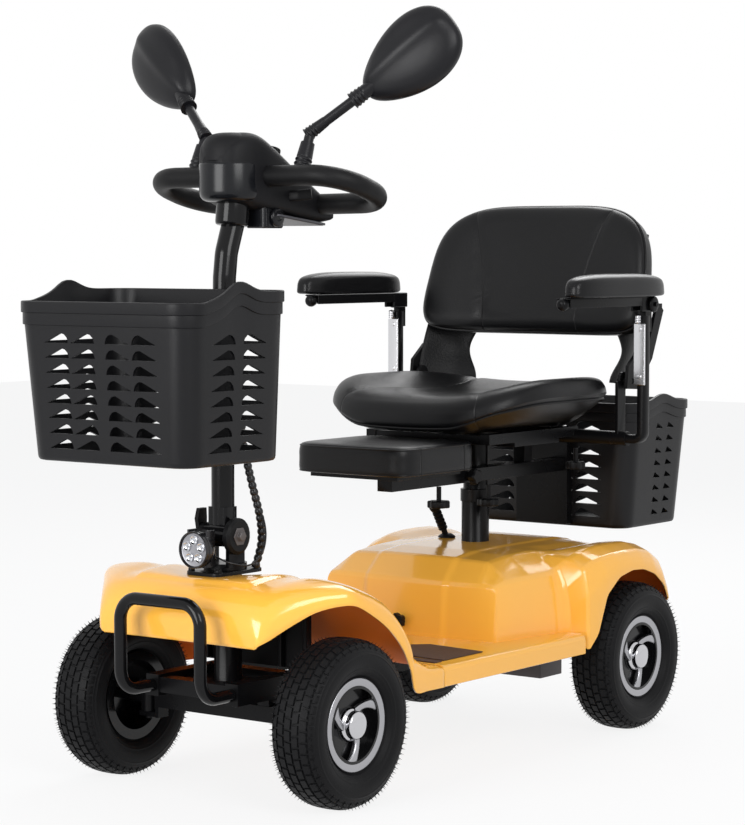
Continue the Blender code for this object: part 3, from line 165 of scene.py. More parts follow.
grain_group = surface_grain()


def finish(name, colour, roughness, metallic=0.0, scale=500.0, depth=0.0002, variation=0.08, **sockets):
    """A Principled material with the grain group on its roughness and bump."""
    made = bpy.data.materials.new(name)
    made.use_nodes = True
    tree = made.node_tree
    shader = tree.nodes["Principled BSDF"]
    shader.inputs["Base Color"].default_value = (*colour, 1)
    shader.inputs["Metallic"].default_value = metallic
    for socket, value in sockets.items():
        shader.inputs[socket.replace("_", " ")].default_value = value
    grain = tree.nodes.new("ShaderNodeGroup")
    grain.node_tree = grain_group
    grain.inputs["Scale"].default_value = scale
    grain.inputs["Roughness"].default_value = roughness
    grain.inputs["Variation"].default_value = variation
    tree.links.new(grain.outputs["Roughness"], shader.inputs["Roughness"])
    if depth:
        bump = tree.nodes.new("ShaderNodeBump")
        bump.inputs["Distance"].default_value = depth
        bump.inputs["Strength"].default_value = 0.6
        tree.links.new(grain.outputs["Height"], bump.inputs["Height"])
        tree.links.new(bump.outputs["Normal"], shader.inputs["Normal"])
    return made


def made_object(name, points, faces, looks, body, stands_for=()):
    """A smooth-shaded mesh as an object that rides on a body, or on none yet, in the row frame."""
    mesh = bpy.data.meshes.new(name)
    mesh.from_pydata(np.asarray(points, float).tolist(), [], faces)
    mesh.update()
    mesh.shade_smooth()
    for look in looks:
        mesh.materials.append(look)
    made = bpy.data.objects.new(name, mesh)
    bpy.context.scene.collection.objects.link(made)
    if stands_for:
        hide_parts(*stands_for)
    if body:
        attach(made, body)
    return made


def grid_faces(rows, columns, ring=False):
    """Quads over a grid of points. A ring also joins the last column to the first."""
    index = np.arange(rows * columns).reshape(rows, columns)
    here, after = (index, np.roll(index, -1, axis=1)) if ring else (index[:, :-1], index[:, 1:])
    return np.stack([here[:-1], after[:-1], after[1:], here[1:]], -1).reshape(-1, 4)


def through(points, steps):
    """A Catmull-Rom curve through the rows of an array, with that many steps from each row to the next."""
    p = np.asarray(points, float)
    p = np.concatenate([[2 * p[0] - p[1]], p, [2 * p[-1] - p[-2]]])
    t = (np.arange(steps) / steps).reshape((-1,) + (1,) * (p.ndim - 1))
    spans = [
        (2 * b + (c - a) * t + (2 * a - 5 * b + 4 * c - d) * t**2 + (3 * b - a - 3 * c + d) * t**3) / 2
        for a, b, c, d in zip(p, p[1:], p[2:], p[3:])
    ]
    return np.concatenate(spans + [p[-2:-1]])


def eased(points, reach):
    """Cuts the corner at every inner row, `reach` metres before and after it, less where rows are near."""
    p = np.asarray(points, float)
    cuts = []
    for way in (p[:-2] - p[1:-1], p[2:] - p[1:-1]):
        long = np.maximum(np.linalg.norm(way, axis=-1, keepdims=True), 1e-9)
        cuts.append(p[1:-1] + np.minimum(0.4, reach / long) * way)
    inner = np.stack(cuts, 1).reshape((-1,) + p.shape[1:])
    return np.concatenate([p[:1], inner, p[-1:]])


def step(values, start, end):
    """Smooth step from 0 at start to 1 at end."""
    t = np.clip((np.asarray(values) - start) / (end - start), 0, 1)
    return t * t * (3 - 2 * t)


def walled(made, thickness, inner_slot=0):
    """Gives a sheet its wall on the inside, whose faces take the next material."""
    wall = made.modifiers.new("wall", "SOLIDIFY")
    wall.thickness = thickness
    wall.offset = -1
    wall.use_even_offset = True
    wall.use_quality_normals = True
    wall.material_offset = inner_slot
    wall.material_offset_rim = 0
    even = made.modifiers.new("flat_facets", "WEIGHTED_NORMAL")
    even.weight = 100


BODY_YELLOW = (0.98, 0.485, 0.062)
body_paint = finish("body_paint", BODY_YELLOW, 0.16, scale=60.0, depth=0.0, variation=0.06,
                    Coat_Weight=0.35, Coat_Roughness=0.05)
# Painted shade: the inside of the shells takes a darker, redder copy of the yellow, for the shadow under
# them.
painted_shade_inside = finish("painted_shade_inside", (0.80, 0.17, 0.008), 0.6, scale=300.0, depth=0.0002,
                     Specular_IOR_Level=0.2)
SHELL_WALL = 0.0035
# Front cover: (middle x, z, lip x, y, z, squareness of the shoulder, swell of the fender crown)
FRONT_ROWS = (
    (0.1803, 0.1900, 0.1803, 0.2500, 0.1550, 12, 0.0), (0.215, 0.198, 0.225, 0.252, 0.156, 10, 0.0),
    (0.250, 0.222, 0.262, 0.254, 0.159, 7, 0.004), (0.278, 0.250, 0.276, 0.255, 0.195, 6, 0.008),
    (0.306, 0.278, 0.300, 0.256, 0.233, 5, 0.012), (0.338, 0.306, 0.334, 0.256, 0.265, 4.5, 0.014),
    (0.372, 0.325, 0.374, 0.256, 0.290, 4, 0.014), (0.410, 0.3345, 0.4125, 0.252, 0.309, 4, 0.013),
    (0.440, 0.3370, 0.438, 0.237, 0.310, 4, 0.010), (0.466, 0.3375, 0.464, 0.215, 0.302, 4, 0.007),
    (0.490, 0.3365, 0.488, 0.196, 0.287, 4, 0.004), (0.508, 0.3310, 0.507, 0.181, 0.273, 4, 0.002),
    (0.522, 0.3180, 0.520, 0.171, 0.263, 4, 0.0), (0.531, 0.3000, 0.529, 0.163, 0.257, 4, 0.0),
    (0.535, 0.2780, 0.533, 0.156, 0.2525, 4, 0.0), (0.530, 0.2490, 0.532, 0.150, 0.2485, 4, 0.0),
)


def front_cover():
    """Each row is a superellipse shoulder from its lip to its middle: z = lip + rise (1 - s^n)^(1/n)."""
    mid_x, mid_z, lip_x, lip_y, lip_z, square, swell = through(FRONT_ROWS, 6).T[:, :, None]
    share = np.sin(np.linspace(0, math.pi / 2, 64)) ** 0.8
    rise = step(share, 0, 0.7)
    y = lip_y * share
    x = mid_x + (lip_x - mid_x) * share**2
    top = mid_z + swell * rise
    z = lip_z + (top - lip_z) * np.maximum(1 - share**square, 0) ** (1 / square)
    panel = step(x, 0.335, 0.36) * step(x, 0.503, 0.493)
    z = z + 0.0042 * panel * step(y, 0.118, 0.108)
    z = z - 0.0032 * step(x, 0.33, 0.38) * step(x, 0.52, 0.46) * np.exp(-(((y - 0.137) / 0.022) ** 2))
    half = np.stack([x, y, z], -1)
    grid = np.concatenate([half[:, :0:-1] * (1, -1, 1), half], 1)
    return made_object("front_cover", grid.reshape(-1, 3), grid_faces(*grid.shape[:2])[:, ::-1].tolist(),
                       (body_paint, painted_shade_inside), "chassis", ["front_shell"])


front_body = front_cover()
walled(front_body, SHELL_WALL, 1)
# Seat housing: one line of points per row from the middle of the deck down to the lip, as (x, y, z)
REAR_ROWS = (
    ((-0.046, 0, 0.186), (-0.046, 0.081, 0.186), (-0.050, 0.085, 0.186), (-0.052, 0.120, 0.186),
     (-0.054, 0.146, 0.186), (-0.056, 0.162, 0.186), (-0.058, 0.174, 0.186), (-0.060, 0.178, 0.186),
     (-0.061, 0.181, 0.186), (-0.062, 0.184, 0.186)),
    ((-0.052, 0, 0.283), (-0.053, 0.081, 0.283), (-0.057, 0.085, 0.283), (-0.060, 0.120, 0.283),
     (-0.063, 0.146, 0.283), (-0.066, 0.163, 0.283), (-0.069, 0.176, 0.282), (-0.067, 0.179, 0.255),
     (-0.065, 0.182, 0.220), (-0.063, 0.185, 0.186)),
    ((-0.091, 0, 0.3225), (-0.091, 0.079, 0.3220), (-0.095, 0.083, 0.3195), (-0.097, 0.112, 0.3190),
     (-0.099, 0.140, 0.3175), (-0.100, 0.160, 0.303), (-0.100, 0.179, 0.287), (-0.098, 0.184, 0.258),
     (-0.096, 0.188, 0.222), (-0.094, 0.190, 0.186)),
    ((-0.150, 0, 0.3285), (-0.150, 0.079, 0.3280), (-0.152, 0.083, 0.3255), (-0.154, 0.112, 0.3250),
     (-0.156, 0.140, 0.3235), (-0.158, 0.162, 0.308), (-0.160, 0.185, 0.290), (-0.160, 0.191, 0.260),
     (-0.160, 0.195, 0.222), (-0.160, 0.198, 0.186)),
    ((-0.222, 0, 0.3297), (-0.222, 0.079, 0.3297), (-0.222, 0.083, 0.3275), (-0.222, 0.112, 0.3270),
     (-0.222, 0.142, 0.3255), (-0.222, 0.164, 0.311), (-0.222, 0.190, 0.292), (-0.222, 0.199, 0.262),
     (-0.222, 0.204, 0.223), (-0.222, 0.207, 0.186)),
    ((-0.236, 0, 0.3297), (-0.236, 0.079, 0.3297), (-0.236, 0.083, 0.3275), (-0.236, 0.112, 0.3270),
     (-0.236, 0.143, 0.3250), (-0.236, 0.162, 0.313), (-0.236, 0.190, 0.298), (-0.237, 0.206, 0.266),
     (-0.238, 0.212, 0.224), (-0.2385, 0.215, 0.186)),
    ((-0.256, 0, 0.3297), (-0.256, 0.079, 0.3297), (-0.256, 0.083, 0.3275), (-0.256, 0.112, 0.3270),
     (-0.256, 0.145, 0.3230), (-0.254, 0.168, 0.317), (-0.252, 0.204, 0.315), (-0.249, 0.236, 0.298),
     (-0.247, 0.247, 0.250), (-0.2455, 0.250, 0.159)),
    ((-0.276, 0, 0.3297), (-0.276, 0.079, 0.3297), (-0.276, 0.083, 0.3275), (-0.276, 0.114, 0.3270),
     (-0.276, 0.147, 0.3215), (-0.276, 0.174, 0.324), (-0.276, 0.207, 0.3235), (-0.275, 0.239, 0.308),
     (-0.273, 0.250, 0.268), (-0.271, 0.253, 0.185)),
    ((-0.300, 0, 0.3297), (-0.300, 0.079, 0.3297), (-0.300, 0.083, 0.3275), (-0.300, 0.116, 0.3265),
     (-0.300, 0.148, 0.3210), (-0.300, 0.178, 0.327), (-0.300, 0.209, 0.3275), (-0.300, 0.241, 0.313),
     (-0.299, 0.252, 0.288), (-0.297, 0.255, 0.250)),
    ((-0.336, 0, 0.3297), (-0.336, 0.078, 0.3297), (-0.336, 0.082, 0.3270), (-0.336, 0.116, 0.3255),
     (-0.336, 0.149, 0.3205), (-0.336, 0.180, 0.3285), (-0.336, 0.211, 0.3300), (-0.336, 0.243, 0.3165),
     (-0.336, 0.253, 0.299), (-0.335, 0.2565, 0.2775)),
    ((-0.376, 0, 0.3297), (-0.376, 0.077, 0.3297), (-0.376, 0.081, 0.3270), (-0.376, 0.115, 0.3250),
     (-0.376, 0.149, 0.3200), (-0.376, 0.180, 0.3290), (-0.376, 0.211, 0.3305), (-0.376, 0.243, 0.318),
     (-0.376, 0.2535, 0.303), (-0.376, 0.257, 0.2855)),
    ((-0.416, 0, 0.3280), (-0.416, 0.076, 0.3280), (-0.416, 0.080, 0.3250), (-0.416, 0.114, 0.3230),
     (-0.416, 0.148, 0.3180), (-0.416, 0.180, 0.3280), (-0.416, 0.211, 0.3295), (-0.416, 0.243, 0.317),
     (-0.416, 0.2535, 0.301), (-0.416, 0.257, 0.2835)),
    ((-0.456, 0, 0.3220), (-0.456, 0.074, 0.3220), (-0.456, 0.078, 0.3190), (-0.456, 0.112, 0.3170),
     (-0.456, 0.148, 0.3120), (-0.456, 0.180, 0.3210), (-0.456, 0.210, 0.3225), (-0.456, 0.242, 0.310),
     (-0.456, 0.252, 0.292), (-0.456, 0.256, 0.271)),
    ((-0.492, 0, 0.3080), (-0.492, 0.072, 0.3080), (-0.493, 0.076, 0.3050), (-0.493, 0.111, 0.3030),
     (-0.493, 0.147, 0.2990), (-0.493, 0.178, 0.3040), (-0.493, 0.206, 0.3050), (-0.494, 0.238, 0.292),
     (-0.494, 0.248, 0.270), (-0.494, 0.252, 0.2475)),
    ((-0.516, 0, 0.2840), (-0.516, 0.070, 0.2840), (-0.517, 0.074, 0.2810), (-0.517, 0.110, 0.2795),
     (-0.518, 0.146, 0.2780), (-0.519, 0.176, 0.2790), (-0.520, 0.202, 0.2770), (-0.522, 0.230, 0.262),
     (-0.523, 0.241, 0.240), (-0.524, 0.244, 0.2175)),
    ((-0.527, 0, 0.2500), (-0.527, 0.068, 0.2500), (-0.528, 0.072, 0.2480), (-0.528, 0.108, 0.2475),
     (-0.529, 0.142, 0.2465), (-0.530, 0.168, 0.2440), (-0.531, 0.190, 0.2380), (-0.532, 0.206, 0.228),
     (-0.533, 0.213, 0.215), (-0.533, 0.216, 0.2025)),
    ((-0.531, 0, 0.2100), (-0.531, 0.066, 0.2100), (-0.532, 0.070, 0.2085), (-0.532, 0.104, 0.2080),
     (-0.533, 0.136, 0.2075), (-0.534, 0.154, 0.2060), (-0.535, 0.164, 0.2040), (-0.535, 0.169, 0.200),
     (-0.536, 0.171, 0.196), (-0.536, 0.172, 0.190)),
    ((-0.532, 0, 0.1600), (-0.532, 0.064, 0.1600), (-0.533, 0.068, 0.1600), (-0.533, 0.100, 0.1600),
     (-0.534, 0.130, 0.1600), (-0.534, 0.144, 0.1595), (-0.535, 0.152, 0.1595), (-0.535, 0.156, 0.159),
     (-0.535, 0.158, 0.159), (-0.535, 0.160, 0.159)),
)


def seat_housing():
    """The rows' corners are cut twice each way, so that facets stay flat and their creases turn round."""
    half = np.asarray(REAR_ROWS, float)
    half[:, 0, 1] = 0
    grid = np.concatenate([half[:, :0:-1] * (1, -1, 1), half], 1)
    for reach in (0.0045, 0.0016):
        grid = eased(grid, reach)
        grid = eased(grid.swapaxes(0, 1), reach).swapaxes(0, 1)
    return made_object("seat_housing", grid.reshape(-1, 3), grid_faces(*grid.shape[:2]).tolist(),
                       (body_paint, painted_shade_inside), "chassis", ["rear_shell"])


rear_body = seat_housing()
walled(rear_body, SHELL_WALL, 1)


# Floor tray and mats: the tray is moulded like the covers and shows between them, and on it lies a rubber
# mat for each foot. Metal and small plastic pieces are CAD solids, copied, merged and given broken edges.
SHARP = math.radians(38)
FOLD_X, FOLD_Z = 0.432, 0.402


def trimmed(look, slot, *names, edge=0.0006):
    """Merged copies of CAD pieces: flats made one face, curved walls smooth, sharp edges bevelled."""
    for name in names:
        bm = bmesh.new()
        bm.from_mesh(nodes[name].data)
        bmesh.ops.remove_doubles(bm, verts=bm.verts, dist=1e-5)
        bmesh.ops.dissolve_limit(bm, angle_limit=math.radians(0.5), verts=bm.verts, edges=bm.edges)
        mesh = bpy.data.meshes.new(f"{name}_trimmed")
        bm.to_mesh(mesh)
        bm.free()
        mesh.shade_smooth()
        mesh.set_sharp_from_angle(angle=SHARP)
        mesh.materials.append(look)
        made = bpy.data.objects.new(f"{name}_trimmed", mesh)
        bpy.context.scene.collection.objects.link(made)
        bevel = made.modifiers.new("broken_edge", "BEVEL")
        bevel.width = edge
        bevel.segments = 2
        bevel.limit_method = "ANGLE"
        bevel.angle_limit = SHARP
        bevel.harden_normals = True
        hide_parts(name)
        bodies = frame["record"]["behaviour"]["bodies"]
        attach(made, next(body for body, members in bodies.items() if name in members))


trimmed(body_paint, "body_paint", "floor_pan", edge=0.002)
mat_rubber = finish("mat_rubber", (0.06, 0.028, 0.018), 0.7, scale=260.0, depth=0.0006)
trimmed(mat_rubber, "mat", "floor_mat_left", "floor_mat_right", edge=0.0009)
black_steel = finish("black_steel", (0.0045, 0.0045, 0.005), 0.28, scale=700.0, depth=0.00005,
                     Specular_IOR_Level=0.12)
trimmed(black_steel, "black_steel", "frame", "front_axle_beam", "rear_axle_left", "rear_axle_right",
        "steering_shaft", "knuckle_left", "knuckle_right", "basket_bracket", "seat_post", "seat_frame",
        "child_seat_tube", "arm_post_left", "arm_post_right", "backrest_frame")
bright_steel = finish("bright_steel", (0.66, 0.66, 0.68), 0.22, metallic=1.0, scale=900.0, depth=0.00004)
trimmed(bright_steel, "cast_metal", "tie_rod")
cast_metal = finish("cast_metal", (0.11, 0.10, 0.10), 0.5, metallic=0.6, scale=500.0, depth=0.0003)
trimmed(cast_metal, "cast_metal", "drive_unit")
black_plastic = finish("black_plastic", (0.005, 0.005, 0.0055), 0.4, scale=1400.0, depth=0.0001,
                       Specular_IOR_Level=0.12)
trimmed(black_plastic, "black_plastic", "fold_joint_cap", "fold_lever", "battery_box", "housing_knob",
        "child_seat_knob")


# Bumper and tiller tube: bent round steel tube, powder-coated gloss black. The bumper is let into the rails.
# The tiller's tube stands in its folding joint, leans back at the top and carries the collar of the console.
def bent(corners, radius, steps=14):
    """A path through corner points in which each inner corner is an arc of that radius."""
    corners = np.asarray(corners, float)
    path = [corners[:1]]
    for before, corner, after in zip(corners, corners[1:], corners[2:]):
        a, b = (way / np.linalg.norm(way) for way in (before - corner, after - corner))
        half = math.acos(a @ b) / 2
        middle = corner + (a + b) / np.linalg.norm(a + b) * radius / math.sin(half)
        start, end = (corner + way * radius / math.tan(half) - middle for way in (a, b))
        sweep = math.pi - 2 * half
        share = np.linspace(0, 1, steps)[:, None]
        arc = np.sin((1 - share) * sweep) * start + np.sin(share * sweep) * end
        path.append(middle + arc / math.sin(sweep))
    path.append(corners[-1:])
    return np.concatenate(path)


def closed(rings):
    """Rings of points as one shape, both ends drawn together in their middle."""
    rings = np.asarray(rings)
    ends = [np.broadcast_to(rings[i].mean(axis=0), rings[i].shape) for i in (0, -1)]
    grid = np.array([ends[0], *rings, ends[1]])
    return grid.reshape(-1, 3), grid_faces(*grid.shape[:2], ring=True)


def along(path, outline, side=(0, 1, 0)):
    """An outline, or one per point of a path, carried along it, its frame turned only as the path bends."""
    tangents = np.gradient(path, axis=0)
    tangents /= np.linalg.norm(tangents, axis=1, keepdims=True)
    outline = np.broadcast_to(outline, (len(path),) + np.shape(outline)[-2:])
    rings, side = [], np.asarray(side, float)
    for point, tangent, ring in zip(path, tangents, outline):
        side = side - (side @ tangent) * tangent
        side /= np.linalg.norm(side)
        rings.append(point + ring[:, :1] * side + ring[:, 1:] * np.cross(tangent, side))
    return closed(rings)


def ring_of(radius, steps=24, power=1.0, flat=1.0):
    """A circle of points, or a squarer or flatter one: cosine and sine raised to a power."""
    turn = np.arange(steps) * 2 * math.pi / steps
    c, s = np.cos(turn), np.sin(turn)
    return radius * np.stack([np.sign(c) * np.abs(c) ** power, flat * np.sign(s) * np.abs(s) ** power], 1)


def solid(name, shapes, look, body, stands_for=(), sharp=35):
    """Closed shapes as one piece, doubles merged and faces turned outwards, smooth below the sharp angle.
    A triangle may be given as a quad that names a corner twice."""
    counts = np.cumsum([0] + [len(points) for points, _ in shapes])
    points = np.concatenate([points for points, _ in shapes])
    faces = [tuple(dict.fromkeys(row)) for start, (_, part) in zip(counts, shapes)
             for row in (part + start).tolist()]
    made = made_object(name, points, faces, (look,), body, stands_for)
    bm = bmesh.new()
    bm.from_mesh(made.data)
    bmesh.ops.remove_doubles(bm, verts=bm.verts, dist=1e-6)
    bmesh.ops.recalc_face_normals(bm, faces=bm.faces)
    bm.to_mesh(made.data)
    bm.free()
    made.data.shade_smooth()
    made.data.set_sharp_from_angle(angle=math.radians(sharp))
    return made


gloss_steel = finish("gloss_steel", (0.0045, 0.0045, 0.005), 0.13, scale=900.0, depth=0.00002,
                     Specular_IOR_Level=0.2)
bumper_half = [(0.5003, 0.080, 0.16885), (0.572, 0.080, 0.16885), (0.572, 0.080, 0.314)]
bumper_line = bent(bumper_half + [(x, -y, z) for x, y, z in reversed(bumper_half)], 0.034)
solid("bumper_tube", [along(bumper_line, ring_of(0.00985))], gloss_steel, "chassis",
      ["bumper"])


def turned(profile, centre, axis=(0, 1, 0), steps=64):
    """A profile of (radius, distance along the axis), closed on itself, carried once round the axis."""
    profile = np.asarray(profile, float)
    axis = np.asarray(axis, float) / np.linalg.norm(axis)
    side = np.cross(axis, (0, 0, 1) if abs(axis[2]) < 0.9 else (0, 1, 0))
    side /= np.linalg.norm(side)
    turn = np.arange(steps + 1)[:, None] * 2 * math.pi / steps
    out = np.cos(turn) * side + np.sin(turn) * np.cross(axis, side)
    grid = np.asarray(centre) + profile[:, :1] * out[:, None] + profile[:, 1:] * axis
    return grid.reshape(-1, 3), grid_faces(*grid.shape[:2], ring=True)


tube_line = bent(((0.4235, 0, 0.404), (0.4235, 0, 0.520), (0.418, 0, 0.800), (0.413, 0, 0.838),
                  (0.3915, 0, 0.897)), 0.06)
collar = eased([(0, 0), (0.0245, 0), (0.0262, 0.004), (0.0262, 0.046), (0, 0.046)], 0.0012)
tiller_shapes = [
    along(tube_line, ring_of(0.018, 40)),
    turned(collar, (0.4000, 0, 0.880), (-0.0045, 0, 0.037)),
    turned([(0, -0.0222), (0.018, -0.0222), (0.018, 0.0222), (0, 0.0222)], (FOLD_X, 0, FOLD_Z)),
    along(np.array([(0.4245, 0, 0.402), (0.4245, 0, 0.446)]), ring_of(0.0186, 32, 0.3, 0.85)),
]
solid("tiller_column", tiller_shapes, gloss_steel, "tiller", ["tiller_tube"])


# Tyres: moulded black rubber, rows of small blocks on a round carcass whose foot the load presses flat.
# Mould vents leave hairs on both shoulders, and fine rings run round the walls.
tyre_rubber = finish("tyre_rubber", (0.006, 0.006, 0.0066), 0.5, scale=420.0, depth=0.00025, variation=0.2,
                     Specular_IOR_Level=0.12)
AXLE_X, WHEEL_Y, AXLE_HEIGHT = 0.4125, 0.221, 0.12918
WHEEL_CENTRES = {
    f"{place}_{name}": (x, side * WHEEL_Y, AXLE_HEIGHT)
    for place, x in (("front", AXLE_X), ("rear", -AXLE_X)) for name, side in SIDES
}
TYRE_RADIUS, SHOULDER_RADIUS, TREAD_DEPTH = 0.130, 0.12, 0.0028
BLOCKS_ROUND, BLOCK_HALF_LENGTH, BLOCK_TAPER = 46, 0.0076, 0.0007
HAIR_LENGTH, HAIR_HALF_WIDTH = 0.0042, 0.0006
BOX = np.array([(0, 3, 2, 1), (4, 5, 6, 7), (0, 1, 5, 4), (1, 2, 6, 5), (2, 3, 7, 6), (3, 0, 4, 7)])
BLOCK_ROWS = ((0.0, 0.0057), (0.0134, 0.0055), (0.0262, 0.0052), (0.0360, 0.0030))


def crown(across):
    """Radius over the blocks: flat in the middle and falling away over the shoulders."""
    return np.interp(np.abs(across), (0, 0.012, 0.019, 0.027, 0.035, 0.0395),
                     (0.1300, 0.1298, 0.1290, 0.1265, 0.1215, 0.1150))


def tyre_shapes():
    """Carcass, blocks and hairs round the origin as arrays of points and faces, the axle along Y."""
    wall = [(0.0560, 0.0277), (0.0718, 0.0277), (0.0765, 0.0328), (0.0835, 0.0384), (0.0925, 0.0417),
            (0.1015, 0.0424), (0.1095, 0.0410), (0.1160, 0.0376)]
    tread = [(crown(a) - TREAD_DEPTH, a) for a in np.linspace(0.034, 0, 12)]
    half = np.concatenate([through(wall, 6), tread])
    radius, across = half.T
    ridge = sum(np.exp(-(((radius - place) / 0.0011) ** 2)) for place in (0.0815, 0.0860, 0.1085, 0.1135))
    across = across + 0.0007 * ridge
    side = np.stack([radius, across], 1)
    shapes = [turned(np.concatenate([side, side[-2::-1] * (1, -1)]), (0, 0, 0), steps=120)]
    turn = np.arange(BLOCKS_ROUND) * 2 * math.pi / BLOCKS_ROUND
    for number, (middle, half_width) in enumerate(BLOCK_ROWS):
        for sign in (1, -1) if middle else (1,):
            skew = BLOCK_TAPER if number % 2 else -BLOCK_TAPER
            corners = []
            for up, inset in ((-TREAD_DEPTH - 0.001, 0), (0, BLOCK_TAPER)):
                for c, d in ((-1, -1), (1, -1), (1, 1), (-1, 1)):
                    a = sign * (middle + c * (half_width - inset))
                    round_by = d * (BLOCK_HALF_LENGTH - inset) + c * skew
                    corners.append((a, crown(a) + up, round_by / TYRE_RADIUS))
            a, r, shift = np.array(corners).T
            angle = turn[:, None] + shift + (number % 2) * math.pi / BLOCKS_ROUND
            points = np.stack([r * np.cos(angle), a + 0 * angle, r * np.sin(angle)], -1).reshape(-1, 3)
            shapes.append((points, (BOX + 8 * np.arange(BLOCKS_ROUND)[:, None, None]).reshape(-1, 4)))
    hairs = 2 * BLOCKS_ROUND
    turn = np.arange(hairs) * 2 * math.pi / hairs
    for place in (0.0300, 0.0372, -0.0300, -0.0372):
        foot, tip, w = crown(place) - 0.001, crown(place) + HAIR_LENGTH, HAIR_HALF_WIDTH
        parts = [(foot, w, w), (foot, -w, w), (foot, -w, -w), (foot, w, -w), (tip, 0, 0)]
        r, a, shift = np.array(parts).T
        angle = turn[:, None] + shift / SHOULDER_RADIUS + place
        points = np.stack([r * np.cos(angle), place * (1 + 22 * np.maximum(r - foot, 0)) + a + 0 * angle,
                           r * np.sin(angle)], -1).reshape(-1, 3)
        spike = np.array([(3, 2, 1, 0), (0, 1, 4, 4), (1, 2, 4, 4), (2, 3, 4, 4), (3, 0, 4, 4)])
        shapes.append((points, (spike + 5 * np.arange(hairs)[:, None, None]).reshape(-1, 4)))
    return shapes


wheel_rubber = tyre_shapes()
for wheel, centre in WHEEL_CENTRES.items():
    placed = []
    for points, faces in wheel_rubber:
        points = points + centre
        points[:, 2] = np.maximum(points[:, 2], 0)
        placed.append((points, faces))
    solid(f"tread_{wheel}", placed, tyre_rubber, f"wheel_{wheel}", [f"tyre_{wheel}"], sharp=32)


# Rims: cast alloy, a wide machined ring and three swept spokes before a dish that is painted gloss black.
# A chromed cap is pressed over the axle nut.
alloy = finish("alloy", (0.40, 0.40, 0.42), 0.32, metallic=1.0, scale=800.0, depth=0.00006)
dish_black = finish("dish_black", (0.004, 0.004, 0.0045), 0.14, scale=500.0, depth=0.0, variation=0.03,
                    Specular_IOR_Level=0.3)
chrome = finish("chrome", (0.55, 0.55, 0.57), 0.07, metallic=1.0, scale=500.0, depth=0.0, variation=0.02)
DISH_PROFILE = [(0.0070, 0.0120), (0.0550, 0.0120), (0.0553, -0.0310), (0.0712, -0.0310), (0.0712, -0.0285),
                (0.0556, -0.0280), (0.0556, 0.0285), (0.0712, 0.0285), (0.0550, 0.0300), (0.0548, 0.0152),
                (0.0070, 0.0150)]
RING_PROFILE = [(0.0712, 0.0270), (0.0715, 0.0300), (0.0708, 0.0312), (0.0690, 0.0314), (0.0600, 0.0298),
                (0.0570, 0.0286), (0.0560, 0.0262), (0.0556, 0.0150), (0.0550, 0.0150), (0.0550, 0.0270)]
CAP_PROFILE = [(0, 0.0130), (0.0262, 0.0130), (0.0268, 0.0180), (0.0252, 0.0225), (0.0222, 0.0248),
               (0.0212, 0.0258), (0.0216, 0.0280), (0.0216, 0.0330), (0.0195, 0.0356), (0.0120, 0.0371),
               (0, 0.0376)]


def spoke(centre, outward, middle):
    """A blade between hub and ring: at each radius an oval section along the arc, its middle swept back by a
    power of the share left, its half width least near the hub."""
    share = np.linspace(0, 1, 24)[:, None]
    radius = 0.0180 + share * 0.0405
    half = 0.0050 + 0.0075 * share**2.2 + 0.0035 * (1 - share) ** 3
    oval = ring_of(1.0, 24, 0.75)
    turn = middle - 0.75 * (1 - share) ** 1.3 + half * oval[:, 0] / radius
    depth = 0.0195 + 0.0050 * share + 0.0048 * oval[:, 1]
    return closed(np.stack([radius * np.cos(turn), outward * depth, radius * np.sin(turn)], -1) + centre)


for wheel, centre in WHEEL_CENTRES.items():
    outward = math.copysign(1, centre[1])
    body, axis = f"wheel_{wheel}", (0, outward, 0)
    solid(f"rim_dish_{wheel}", [turned(DISH_PROFILE, centre, axis, 96)], dish_black, body,
          [f"rim_{wheel}"])
    shapes = [turned(eased(RING_PROFILE, 0.0008), centre, axis, 96)]
    shapes += [spoke(centre, outward, math.radians(angle)) for angle in (35, 155, 275)]
    solid(f"rim_ring_{wheel}", shapes, alloy, body)
    cap = eased(eased(CAP_PROFILE, 0.001), 0.0005)
    solid(f"rim_cap_{wheel}", [turned(cap, centre, axis)], chrome, body)


# Upholstery: black leatherette drawn over moulded foam, with welts and sewn seams. Each pad is modelled
# directly, as rings from its base up to its middle.
def leather_look(name, seams, roughness=0.34):
    """Pebbled leather with seams of (axis across, offset, axis along, its middle, bow), where
    |across| = offset + bow (along - middle)^2."""
    made = finish(name, (0.0050, 0.0050, 0.0056), roughness, scale=620.0, depth=0.00022, variation=0.1,
                  Specular_IOR_Level=0.2)
    tree = made.node_tree
    place, split = tree.nodes.new("ShaderNodeTexCoord"), tree.nodes.new("ShaderNodeSeparateXYZ")
    tree.links.new(place.outputs["Object"], split.inputs[0])
    bump = next(node for node in tree.nodes if node.type == "BUMP")
    height = bump.inputs["Height"].links[0].from_socket
    for across, offset, other, middle, bow in seams:
        away = calc(tree, "SUBTRACT", split.outputs[other], middle)
        line = calc(tree, "MULTIPLY_ADD", calc(tree, "MULTIPLY", away, away), bow, offset)
        distance = calc(tree, "ABSOLUTE", split.outputs[across])
        gap = calc(tree, "ABSOLUTE", calc(tree, "SUBTRACT", distance, line))
        groove = calc(tree, "SMOOTH_MIN", calc(tree, "MULTIPLY", gap, 2600.0), 5.0, 1.0)
        height = calc(tree, "ADD", height, groove)
    tree.links.new(height, bump.inputs["Height"])
    return made


def padded(name, rings, look, body, node):
    """Rings from base to middle, closed at both ends, as a soft piece that stands for its CAD solid."""
    made = solid(name, [closed(rings)], look, body, [node], sharp=70)


def welt(name, path, radius, look, body):
    """A thin cord of leather round a pad, closed on itself."""
    path = np.concatenate([path, path[:1]])
    solid(name, [along(path, ring_of(radius, 8), (0, 0, 1))], look, body)


